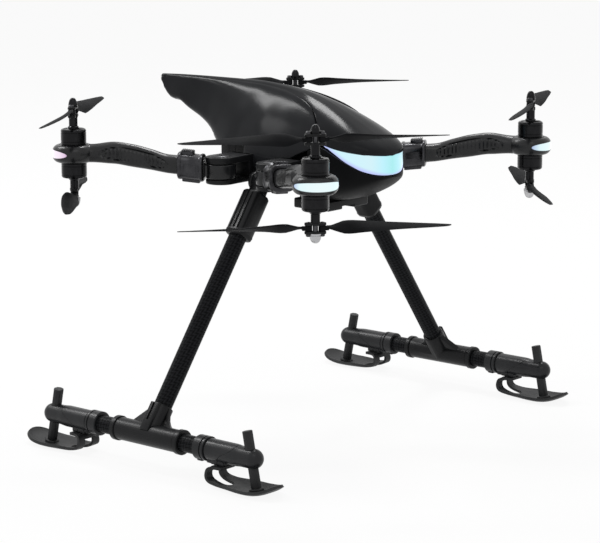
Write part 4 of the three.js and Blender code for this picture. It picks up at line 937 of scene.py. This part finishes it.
# Blades: the hinge pin at the origin and the tip towards +X; sense 1 turns anticlockwise from above
blade = {
    "radius": 114.3, "chord": 16.4, "thick": 0.09, "edge": 0.8, "tipEdge": 0.8, "rootShare": 0.098, "rootHalf": 2.5,
    "rootTall": 1.7, "eye": 3.1, "eyeHalf": 2.1, "bore": 1.7,
    # radius share, chord share, sweep share, twist in degrees, thickening
    "stations": [(0.085, 0.34, 0.0, 4, 2.6), (0.11, 0.44, 0.0, 14, 2.0), (0.15, 0.62, 0.01, 29, 1.6),
                 (0.22, 0.9, 0.02, 38.8, 1.3), (0.36, 1, 0.05, 26.2, 1.05), (0.6, 0.83, 0.04, 16.4, 1),
                 (0.88, 0.5, -0.08, 11.4, 1), (0.96, 0.33, -0.19, 10.4, 1), (0.995, 0.12, -0.3, 10, 0.8)],
    "upper": [(0, 0.03), (0.1, 0.3), (0.35, 0.82), (0.65, 1), (0.85, 0.86), (0.96, 0.45), (1, 0.1)],
    "lower": [(0, -0.03), (0.1, -0.14), (0.35, -0.33), (0.7, -0.36), (0.9, -0.28), (0.98, -0.1), (1, 0.1)],
}


def bladeMaster(sense):
    section = [(t, along(blade["upper"], t)) for t in spread(0, 1, 13)]
    section += [(t, along(blade["lower"], t)) for t in spread(0.93, 0.07, 11)]
    rows = []
    for share in spread(0.085, 0.15, 7) + spread(0.17, 0.88, 20) + [0.905, 0.93, 0.95, 0.965, 0.978, 0.988, 0.995]:
        wide, sweep, twist, fat = (along(blade["stations"], share, c) for c in (1, 2, 3, 4))
        chord = blade["chord"] * wide
        thick = max(chord * blade["thick"], blade["edge"] * (1 if share < 0.9 else blade["tipEdge"])) * fat
        c, s = cosSin(twist)
        ring, out = [], blade["radius"] * share - hub["pivot"]
        for t, lift in section:
            across, up = (t - 0.5 + sweep) * chord * sense, lift * thick
            ring.append((out, across * c - up * s * sense, across * s * sense + up * c))
        rows.append(ring)
    obj = wrap("blade", rows)
    half, tall = blade["rootHalf"], blade["rootTall"]
    root = block("root", (0, -half, -tall), (blade["radius"] * blade["rootShare"] - hub["pivot"], half, tall), 0.5)
    boolean(obj, root, "UNION")
    boolean(obj, drum("eye", blade["eye"], -blade["eyeHalf"], blade["eyeHalf"], 0.35), "UNION")
    boolean(obj, drum("bore", blade["bore"], -6, 6, steps=24))
    return smooth(tidyMesh(obj, 1e-5), 38)


bladeMasters = {sense: bladeMaster(sense) for sense in (1, -1)}
for corner, facts in corners.items():
    matrix, heading = armMatrix(facts)
    for level, up, rest in (("upper", 1, facts["rest"][0]), ("lower", -1, facts["rest"][1])):
        rise = pod["rise"] + up * motor["rise"][level]
        spot = (matrix @ shifted(arm["reach"], 0, rise)
                @ Matrix.Rotation(math.radians(rest) - heading, 4, "Z"))
        body = f"rotor_{level}_{corner}"
        whole = twin(rotorMasters[level], f"{body}_dressed", spot @ turned(0 if up > 0 else 180, "X"))
        finish(whole, body, None, "motor_bell", body)
        for half, letter in enumerate("ab"):
            body = f"blade_{level}_{corner}_{letter}"
            place = spot @ turned(180 * half) @ shifted(hub["pivot"], 0, 0)
            single = twin(bladeMasters[facts["sense"] * up], f"{body}_dressed", place)
            finish(single, body, bladeBlack, "blade_plastic", body)
for master in [*rotorMasters.values(), *bladeMasters.values()]:
    bpy.data.objects.remove(master)
print("rotors and blades done")

# Frame of the airframe: core plate, ears round the arm pins, and a clevis for each leg
chassis = {
    "base": 229, "core": ((-40, -42, 229), (40, 60, 242.5)), "tray": ((-25, -30, 240.5), (25, 66, 246)),
    "lowerEar": 4.2, "upperEar": 247.2, "upperTop": 253.2, "webX": 54.5, "web": 5, "ear": 12, "tieX": 35,
    "capRadius": 7.5, "cap": 0.8, "armPin": 4, "cheek": 4, "cheekHalf": 5.5, "eye": 8.5, "legPin": 3, "edge": 0.6,
}
hinge = {"x": 60, "y": -2, "z": 231}
cap, lip = chassis["cap"], chassis["capRadius"]
capProfile = [(0, -0.4), (1.9, -0.4), (1.9, cap), (6.3, cap), (lip, 0.2), (lip, -0.6), (0, -0.6)]  # driver recess
boltProfile = [(0, -0.2), (1.6, -0.2), (1.6, 0.0), (2.6, 0.0), (3, -0.3), (3, -2), (0, -2)]


def sideBlock(name, x0, x1, y0, y1, low, high):
    return block(name, (min(x0, x1), min(y0, y1), low), (max(x0, x1), max(y0, y1), high), chassis["edge"])


base, top = chassis["base"], chassis["upperTop"]
core = block("chassis", *chassis["core"], 1.2)
frameParts = [boolean(core, block("tray", *chassis["tray"], chassis["edge"]))]
for side in (-1, 1):
    web, inner = side * chassis["webX"], side * (chassis["webX"] - chassis["web"])
    for end in (-1, 1):
        x, y = side * arm["pinX"], end * arm["pinY"]
        y0, y1 = y - end * chassis["ear"], y + end * chassis["ear"]
        outline = [(inner, y0), (inner, y1)]
        outline += arc(x, y, side * arm["knuckleRadius"], end * arm["knuckleRadius"], 90, -90, 25)
        for low, high in ((base, base + chassis["lowerEar"]), (chassis["upperEar"], top)):
            frameParts.append(slab("ear", outline, low, high, 0.9, 3))
        frameParts.append(sideBlock("web", inner, web, y0, y1, base, top))
        frameParts.append(sideBlock("tie", side * chassis["tieX"], web, y0, y1, base, base + chassis["lowerEar"]))
        for z, turn in ((top, 0), (base, 180)):
            pinCap = painted(lathe("pinCap", capProfile, 40), steelDark)
            frameParts.append(moved(pinCap, (x, y, z), turn, "X"))
        frameParts.append(painted(moved(drum("armPin", chassis["armPin"], base, top), (x, y, 0)), steelDark))
    r = chassis["eye"]
    outline = arc(hinge["x"], hinge["z"], r, r, -90, 90, 25)
    outline += [(chassis["tieX"], hinge["z"] + r), (chassis["tieX"], base), (hinge["x"] - r, base)]
    for end in (-1, 1):
        near = hinge["y"] + end * chassis["cheekHalf"]
        far = near + end * chassis["cheek"]
        cheek = slab("cheek", [(x * side, z) for x, z in outline], 0, chassis["cheek"], chassis["edge"])
        frameParts.append(placed(cheek, shifted(0, max(near, far), 0) @ turned(90, "X")))
        bolt = placed(lathe("hingeBolt", boltProfile, 28), turned(-90 * end, "X"))
        frameParts.append(painted(moved(bolt, (side * hinge["x"], far, hinge["z"])), steelDark))
    pin = placed(drum("legPin", chassis["legPin"], -5.5, 5.5, steps=28), turned(90, "X"))
    frameParts.append(painted(moved(pin, (side * hinge["x"], hinge["y"], hinge["z"])), steelDark))
for part in frameParts:
    if not part.data.materials:
        painted(part, satinBlack)
finish(joined(frameParts, "chassisDressed"), "airframe", None, "satin_shell", "chassis", 32)

# Payload mount: quick-release box with its rail
mount = {"half": 28, "front": -52, "rear": -11, "bottom": 205, "top": 214, "neck": 20, "rail": 9, "railTall": 3,
         "grooves": 4, "grooveY": -38, "grooveStep": 4.5, "contacts": 5}
half, front, rear, bottom = (mount[key] for key in ("half", "front", "rear", "bottom"))
mountBox = block("payloadMount", (-half, front, bottom), (half, rear, mount["top"]), 1.6, 4)
boolean(mountBox, block("channel", (-mount["rail"], front - 5, bottom - 5),
                        (mount["rail"], rear + 5, bottom + mount["railTall"]), 0.4))
for side in (-1, 1):  # finger grooves of the release catches
    for i in range(mount["grooves"]):
        y = mount["grooveY"] + i * mount["grooveStep"]
        groove = block("groove", (side * half - 0.7, y, 207), (side * half + 0.7, y + 1.8, 212.4), 0.2, 1)
        boolean(mountBox, groove)
neck = block("mountNeck", (-mount["neck"], front + 3, mount["top"] - 2), (mount["neck"], rear, 228.5), 1.2, 3)
contacts = [painted(block("contact", (-6 + 3 * i, -30, 207.7), (-4.8 + 3 * i, -24, 208.15), 0.1, 1), paleAlloyAndLitSpinner)
            for i in range(mount["contacts"])]
for part in (mountBox, neck):
    painted(part, satinBlack)
finish(joined([mountBox, neck] + contacts, "mountDressed"), "airframe", None, "satin_shell", "payload_mount", 32)

# Battery and the board stack ahead of it
pack = {"half": 22, "tall": 14.7, "front": -26, "rear": 82, "corner": 3, "floor": 242.8, "seams": (72, 64)}
half, halfTall, corner = pack["half"], pack["tall"] / 2, pack["corner"]
outline = []
for cx, cz, start in ((1, 1, 0), (-1, 1, 90), (-1, -1, 180), (1, -1, 270)):
    outline += arc(cx * (half - corner), cz * (halfTall - corner), corner, corner, start, start + 90, 7)
packPlace = shifted(0, 0, pack["floor"] + halfTall) @ turned(90, "X")
battery = placed(slab("battery", outline, -pack["rear"], -pack["front"], 0.5), packPlace)
boolean(battery, block("grip", (-11, 80, pack["floor"] + 5.1), (11, 85, pack["floor"] + 9.6), 0.4))
for y in pack["seams"]:  # seams of the end cap
    seam = slab("seam", [(x * 1.2, z * 1.4) for x, z in outline], -y - 0.4, -y)
    boolean(seam, slab("seamCore", [(x * 0.985, z * 0.955) for x, z in outline], -y - 2, -y + 2))
    boolean(battery, placed(seam, packPlace))
finish(battery, "battery", satinBlack, "satin_shell", "battery", 32)

board = {"half": 24, "front": -64, "rear": -28, "thick": 1.8, "vents": 7, "coverTop": 12,
         "screwX": 20.5, "screwY": (-60, -32), "screw": [(0, 1.2), (1.1, 1.2), (1.5, 0.9), (1.5, 0), (0, 0)]}
deck = pack["floor"] + board["thick"]
plate = block("avionics", (-board["half"], board["front"], pack["floor"]), (board["half"], board["rear"], deck), 0.2, 1)
cover = block("cover", (-17, -59, deck), (17, -35, pack["floor"] + board["coverTop"]), 0.8, 3)
for i in range(board["vents"]):
    x, low = i * 4.5, pack["floor"] + board["coverTop"] - 0.8
    boolean(cover, block("vent", (x - 14.5, -56, low), (x - 12.7, -38, low + 1.8), 0.3, 1))
stack = [painted(plate, boardGreen), painted(cover, satinBlack)]
for y in board["screwY"]:
    for side in (-1, 1):
        screw = painted(lathe("boardScrew", board["screw"], 20), paleAlloyAndLitSpinner)
        stack.append(moved(screw, (side * board["screwX"], y, deck)))
finish(joined(stack, "avionicsDressed"), "airframe", None, "satin_shell", "avionics", 32)
print("airframe done")

# Legs: made once about the hinge, running down -Z, then turned out to each side
leg = {
    "run": 249.283, "lean": 35.9502, "eye": 8.5, "eyeHalf": 5, "tube": 8, "wall": 1.3, "fit": 8.3, "pinBore": 3.3,
    "top": 12, "end": 56, "half": 10.6, "power": 3.4, "groove": 1.2, "pitch": 4.6, "bore": 30,
}
skid = {"x": 206.35, "z": 29.2, "tube": 7.7, "fit": 8.0, "half": 108.4, "tee": 9.9, "teeHalf": 40, "rise": 27,
        "ring": 10.9}
foot = -leg["run"]


def sideMatrix(side):
    return shifted(0, hinge["y"], 0) @ turned(0 if side > 0 else 180)


def legMatrix(side):
    return sideMatrix(side) @ shifted(hinge["x"], 0, hinge["z"]) @ turned(-leg["lean"], "Y")


def lieDown(obj):
    # from upright about Z to lying along the skid, in the frame of the leg
    return placed(obj, shifted(0, 0, foot) @ turned(leg["lean"], "Y") @ turned(90, "X"))


def tubePaint(upright):
    # the twill wrapped round a tube: length along it, and the way round it
    def paint(place):
        x, y, z = place.axes()
        x = x.maths("ABSOLUTE", x)
        if upright:
            c, s = cosSin(leg["lean"])
            across = x * c + z * s - (hinge["x"] * c + hinge["z"] * s) * mm
            length, aside = z * c - x * s, y - hinge["y"] * mm
        else:
            across, length, aside = x - skid["x"] * mm, y, z - skid["z"] * mm
        about = across.maths("ARCTAN2", aside, across) * (leg["tube"] * mm)
        return carbonPaint(across.add("CombineXYZ", inputs={0: about, 1: length}))
    return paint


legTwill, skidTwill = (material(name, tubePaint(upright), Specular_IOR_Level=0.04)
                       for name, upright in (("leg_twill", True), ("skid_twill", False)))

# hinged socket with its grooves and latch
top, end, half = leg["top"], leg["end"], leg["half"]
levels = [(top, -2.2), (top + 0.6, -1.1), (top + 1.8, -0.2), (top + 3, 0), (end - 4.5, 0), (end - 4, 0.25),
          (end - 3, 0.25), (end - 2.6, 0), (end - 1.0, -0.2), (end - 0.3, -0.8), (end, -1.6)]
rows = []
for depth, grow in levels:
    ring = squareRing(0, 0, 0, half + grow, half + grow, leg["power"], 64)
    rows.append([(z, y, -depth) for _, y, z in ring])
socket = wrap("legSocket", rows)
boolean(socket, block("web", (-6.8, -leg["eyeHalf"], -top - 1.5), (6.8, leg["eyeHalf"], 0), 0.4), "UNION")
eye = drum("eye", leg["eye"], -leg["eyeHalf"], leg["eyeHalf"], 0.7, 48)
boolean(socket, placed(eye, turned(90, "X")), "UNION")
for i in (-1, 0, 1):
    y = i * leg["pitch"]
    boolean(socket, block("groove", (half - leg["groove"], y - 1, -end + 5.2), (half + 3, y + 1, -top - 2.4), 0.5))
latch = block("latch", (-half - 4, -3.5, -34.7), (-half + 1.5, 3.5, -top - 1.2), 1.0, 3)
for z in (-31, -27.8):
    boolean(latch, block("latchGroove", (-half - 5, -5, z), (-half - 3.2, 5, z + 1.2), 0.2, 1))
boolean(socket, latch, "UNION")
boolean(socket, placed(drum("bore", leg["pinBore"], -20, 20), turned(90, "X")))
boolean(socket, drum("tubeBore", leg["fit"], -end - 5, -end + leg["bore"], steps=48))
tidyMesh(socket, 1e-5)

tube = drum("legTube", leg["tube"], foot + skid["tee"] + 2, -end + leg["bore"] - 0.3, steps=64)
boolean(tube, drum("tubeInside", leg["tube"] - leg["wall"], foot, 0, steps=48))

# tee with its end rings, channelled face, slab gusset and open strut
r, h, ring = skid["tee"], skid["teeHalf"], skid["ring"]
rims = [(ring - 0.8, h), (ring, h - 0.8), (ring, h - 4.6), (ring - 0.5, h - 5), (r - 0.5, h - 5.1), (r - 0.5, h - 5.5),
        (r, h - 5.8)]
profile = [(0, -h)] + [(a, -b) for a, b in rims] + rims[::-1] + [(0, h)]
tee = lieDown(lathe("skidTee", profile, 64))
gussetOutline = [(-24.8, 6.5), (-24.2, 8.6), (-13, 21), (-7.9, 25.6), (0, 25.6), (0, 4), (-24.8, 4)]
strutOutline = [(0, 4), (25, 4), (24.6, 8.2), (21, 9.6), (17.2, 12.2), (14, 16), (11.8, 20.5), (10.4, 25.6), (0, 25.6)]
windowOutline = [(9.6, 12.2), (14.4, 12), (12.6, 14.4), (11, 18), (10.3, 20.5), (9.6, 20.8)]
stand = turned(90) @ turned(90, "X")


def standing(name, outline, half, edge=0):
    # a plate that stands on the foot of the leg, in line with the skid
    return tidyMesh(placed(slab(name, [(x, foot + z) for x, z in outline], -half, half, edge), stand))


stub = drum("stub", r, foot, foot + skid["rise"], 0.8, 64, 3)
channel = block("channel", (2, -5, foot), (ring, 5, foot + skid["rise"] - 0.2), 0.7)
boolean(channel, block("channelGroove", (8.6, -1.7, foot + 9.9), (14, 1.7, foot + 40), 0.5))
gusset = standing("gusset", gussetOutline, 2.6, 0.5)
strut = boolean(standing("strut", strutOutline, 2.0, 0.4), standing("window", windowOutline, 6))
for piece in (stub, channel, gusset, strut):
    boolean(tee, piece, "UNION")
boolean(tee, drum("legBore", leg["fit"], foot + r + 1.7, foot + 60, steps=48))
boolean(tee, lieDown(drum("skidBore", skid["fit"], -60, 60, steps=48)))
tidyMesh(tee, 1e-5)

# Feet: +Y runs outwards along the skid, ground at 0
ski = {
    "line": [(90, 16.7), (84, 16.75), (79.5, 16.4), (77.2, 15.2), (76.2, 13.2), (75.9, 11), (76.2, 8.8), (77.4, 6.8),
             (80, 5), (84, 3.6), (90, 2.35), (97, 1.65), (105, 1.3), (113, 1.2), (120, 1.25), (126, 1.7), (132, 2.9),
             (138, 5.1), (143, 7.9), (146.4, 10.4)],
    "wide": [(0, 9), (6, 9.6), (12, 11.6), (20, 13), (30, 13.8), (40, 15), (48, 16.2), (56, 17), (64, 16.8),
             (71, 15.6), (77, 13.2), (81.5, 10.2), (84.5, 6.6), (86, 2.6)],
    "rim": [(0, 0), (18, 0), (30, 1.6), (46, 3.2), (64, 3.0), (78, 1.6), (86, 0.2)],
    "thick": 2.4, "slot": 5.0, "slotStart": 66, "slotEnd": 95.5, "pad": ((-8.5, 78.5, 15.6), (8.5, 90, 17.9)),
}
post = {"half": 4.5, "deep": 4, "corner": 2.4, "y": 116.8, "lean": 11.7, "low": 2.2, "top": 53,
        "pedestal": (-28.4, -25.0)}
lengths = travel(ski["line"])
ys, zs = ([(s, p[c]) for s, p in zip(lengths, ski["line"])] for c in (0, 1))
scale = ski["wide"][-1][0] / lengths[-1]
rows = []
for s in spread(0, lengths[-1], 74):
    wide, rim = along(ski["wide"], s * scale), along(ski["rim"], s * scale)
    rows.append([(u * wide, along(ys, s), along(zs, s) + rim * abs(u) ** 3.5) for u in spread(-1, 1, 21)])
leaf = modify(wrap("ski", rows, ring=False), "SOLIDIFY", thickness=ski["thick"] * mm, offset=0, use_even_offset=True)
tidyMesh(leaf, 1e-5)
outline = arc(0, ski["slotEnd"] - ski["slot"], ski["slot"], ski["slot"], 0, 180, 13)
outline += [(-x, ski["slotStart"] + ski["slotEnd"] - y) for x, y in outline]
boolean(leaf, slab("slot", outline, -6, 13.2))
boolean(leaf, block("skiPad", *ski["pad"], 0.5), "UNION")
w, d, c = post["half"], post["deep"], post["corner"]
postOutline = [(-w + c, -d), (w - c, -d), (w, -d + c), (w, d - c), (w - c, d), (-w + c, d), (-w, d - c), (-w, -d + c)]
postPlace = shifted(0, post["y"], skid["z"]) @ turned(post["lean"], "X")
low, high = ((post[key] - skid["z"]) / math.cos(math.radians(post["lean"])) for key in ("low", "top"))
peg = placed(slab("post", postOutline, low, high - 0.9, 0.7, 3), postPlace)
pedestal = slab("pedestal", [(x * 1.35, y * 1.5) for x, y in postOutline], *post["pedestal"], 1.2, 4)
boolean(peg, placed(pedestal, postPlace), "UNION")
boolean(leaf, peg, "UNION")
tidyMesh(bevel(leaf, 0.35, 2, 60), 1e-5)

clamp = {
    "profile": [(0, 58), (9.9, 58), (10.6, 58.7), (10.6, 66.1), (9.8, 66.3), (9.8, 67.3), (10.6, 67.5), (10.6, 69.6),
                (10.1, 70.1), (8.9, 70.2), (8.9, 71.2), (9.4, 71.6), (9.4, 99), (9.2, 102), (8.8, 105.4), (8.6, 108),
                (8.6, 119)],
    "nose": 8.6, "noseY": 119, "tip": 127.6, "boss": ((-6, 76, 18.3), (6, 90, 25)), "lugs": (62.5, 73.5),
    "boreEnd": 108.7, "partingWide": (0.55, 0.1),
    "parting": [(104.5, 41), (103.5, 38.2), (101.5, 35.4), (98, 32.6), (93.5, 30.2), (89, 27.6), (85.5, 24.6),
                (83.5, 21), (82.8, 17)],
}
profile = clamp["profile"] + arc(0, clamp["noseY"], clamp["nose"], clamp["nose"], 8, 84, 11) + [(0, clamp["tip"])]
grasp = placed(lathe("footClamp", profile, 72), shifted(0, 0, skid["z"]) @ turned(-90, "X"))
boolean(grasp, block("boss", *clamp["boss"], 0.8, 3), "UNION")
for y in clamp["lugs"]:  # bosses of the two clamp screws under the tube
    boolean(grasp, block("lug", (-5.4, y - 3.4, 18.4), (5.4, y + 3.4, 24), 1.4, 3), "UNION")
boolean(grasp, moved(drum("clampBore", skid["fit"], 50, clamp["boreEnd"], steps=48), (0, 0, skid["z"]), -90, "X"))
thin, drop = clamp["partingWide"]
ribbon = clamp["parting"] + [(y - thin, z - drop) for y, z in reversed(clamp["parting"])]
boolean(grasp, tidyMesh(placed(slab("parting", ribbon, -12, 12), stand)))
boolean(grasp, placed(slab("postHole", [(x * 1.07, y * 1.07) for x, y in postOutline], -30, 40), postPlace))
tidyMesh(grasp, 1e-5)

rail = drum("skidTube", skid["tube"], -skid["half"], skid["half"], steps=64)
boolean(rail, drum("railInside", skid["tube"] - leg["wall"], -120, 120, steps=48))
placed(rail, turned(90, "X"))
for side, name in ((1, "left"), (-1, "right")):
    body = f"leg_{name}"
    high, low = legMatrix(side), sideMatrix(side) @ shifted(skid["x"], 0, 0)
    for master, kind, matrix, look, slotName, node in (
            (socket, "socket", high, satinBlack, "satin_shell", "leg_socket"),
            (tube, "tube", high, legTwill, "carbon_tube", "leg_tube"),
            (tee, "tee", high, satinBlack, "satin_shell", "skid_tee"),
            (rail, "rail", low @ shifted(0, 0, skid["z"]), skidTwill, "carbon_tube", "skid_tube")):
        finish(twin(master, f"{kind}_{name}", matrix), body, look, slotName, f"{node}_{name}", 35)
    for end in (-1, 1):
        place = "rear" if side * end > 0 else "front"
        spot = low @ turned(0 if end > 0 else 180)
        finish(twin(grasp, f"clamp_{place}_{name}", spot), body, footGrey, "satin_shell",
               f"foot_clamp_{place}_{name}", 35)
        finish(twin(leaf, f"ski_{place}_{name}_dressed", spot), body, rubberBlack, "satin_shell",
               f"ski_{place}_{name}", 45)
for master in (socket, tube, tee, rail, grasp, leaf):
    bpy.data.objects.remove(master)
print("legs done")

# Stage: pale floor, soft lamps, and the camera worked out from the photograph
studio = {"floorTone": (0.95, 0.95, 0.95), "floorSize": 30, "drop": 0.2, "world": 0.45, "glow": 0.91}
softboxes = {  # azimuth and elevation seen from the hull, or place; size and power
    "crestLamp": {"toward": (34, 58), "size": (0.7, 0.32), "power": 21},
    "sideLamp": {"toward": (103, 46), "size": (0.26, 0.75), "power": 17},
    "patchLamp": {"toward": (120, 34), "size": (0.34, 0.34), "power": 2.5},
    "fillLamp": {"place": (-0.9, -0.9, 1.6), "size": (0.9, 0.9), "power": 3},
}
aim = {"reach": 2.2, "hull": 0.295, "fill": 0.22}
bpy.ops.mesh.primitive_plane_add(size=studio["floorSize"], location=(0, 0, 0))
floor = placed(named("studioFloor"), shifted(0, 0, -studio["drop"]))


def seenRays(tree):
    # one for the rays that show the backdrop: from the camera, off gloss and through clear pieces
    rays = Wire(tree).add("LightPath").socket.node
    total = Wire(tree, rays.outputs["Is Camera Ray"])
    for kind in ("Is Glossy Ray", "Is Transmission Ray"):
        total = total.maths("MAXIMUM", total, Wire(tree, rays.outputs[kind]))
    return total


floorLook = bpy.data.materials.new("studio_floor")
floorLook.use_nodes = True
tree = floorLook.node_tree
shader = tree.nodes["Principled BSDF"]
shader.inputs["Base Color"].default_value = (*studio["floorTone"], 1)
shader.inputs["Roughness"].default_value = 0.6
shader.inputs["Specular IOR Level"].default_value = 0.1
white = Wire(tree).add("Emission", {}, {"Color": (1, 1, 1), "Strength": 1.0})
both = white.add("MixShader", {}, {0: seenRays(tree) * studio["glow"], 1: Wire(tree, shader.outputs[0]), 2: white})
tree.links.new(both.socket, tree.nodes["Material Output"].inputs["Surface"])
painted(floor, floorLook)

world = bpy.data.worlds.new("studio")
bpy.context.scene.world = world
world.use_nodes = True
tree = world.node_tree
background = tree.nodes["Background"]
background.inputs["Color"].default_value = (1, 1, 1, 1)
Wire(tree).feed(background.inputs["Strength"], seenRays(tree).between(0, 1, studio["world"], 1.0))

for name, facts in softboxes.items():
    lamp = bpy.data.lights.new(name, "AREA")
    lamp.energy = facts["power"]
    lamp.shape = "RECTANGLE"
    lamp.size, lamp.size_y = facts["size"]
    holder = bpy.data.objects.new(name, lamp)
    bpy.context.scene.collection.objects.link(holder)
    if "toward" in facts:
        (c, s), (level, rise) = map(cosSin, facts["toward"])
        target = Vector((0, 0, aim["hull"]))
        holder.location = target + Vector((level * c, level * s, rise)) * aim["reach"]
    else:
        target = Vector((0, 0, aim["fill"]))
        holder.location = facts["place"]
    holder.rotation_euler = (target - holder.location).to_track_quat("-Z", "Y").to_euler()

view = {"azimuth": -49.426975, "elevation": 11.016857, "distance": 2153.542, "targetZ": 141.061, "roll": -0.09832,
        "focal": 2356.537, "centre": (304.6097, 271.2349), "frame": (600, 543), "film": 36}
(c, s), (level, rise), (turnC, turnS) = (cosSin(view[key]) for key in ("azimuth", "elevation", "roll"))
back = Vector((s * level, -c * level, rise))
right = (-back).cross(Vector((0, 0, 1))).normalized()
up = right.cross(-back)
axes = (right * turnC + up * turnS, up * turnC - right * turnS, back)
place = Vector((0, 0, view["targetZ"] * mm)) + back * view["distance"] * mm
wide, tall = view["frame"]
camera = bpy.data.cameras.new("camera")
camera.sensor_width = view["film"]
camera.lens = view["focal"] / wide * view["film"]
camera.shift_x = (wide / 2 - view["centre"][0]) / wide
camera.shift_y = (view["centre"][1] - tall / 2) / wide
camera.clip_end = 50
cameraHolder = bpy.data.objects.new("camera", camera)
bpy.context.scene.collection.objects.link(cameraHolder)
cameraHolder.matrix_world = Matrix.Translation(place) @ Matrix(axes).transposed().to_4x4()
bpy.context.scene.camera = cameraHolder
bpy.context.scene.view_settings.view_transform = "Standard"
print("stage done")

# Any CAD node that is still shown takes the finish of its kind
nodeLooks = {"arm_": armGloss, "pod_light": noseLens, "rotor": bellBlack, "blade": bladeBlack, "leg_tube": legTwill,
             "ski": rubberBlack, "foot": rubberBlack}
for nodeName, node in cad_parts.items():
    node.data.materials.clear()
    painted(node, next((look for start, look in nodeLooks.items() if nodeName.startswith(start)), satinBlack))
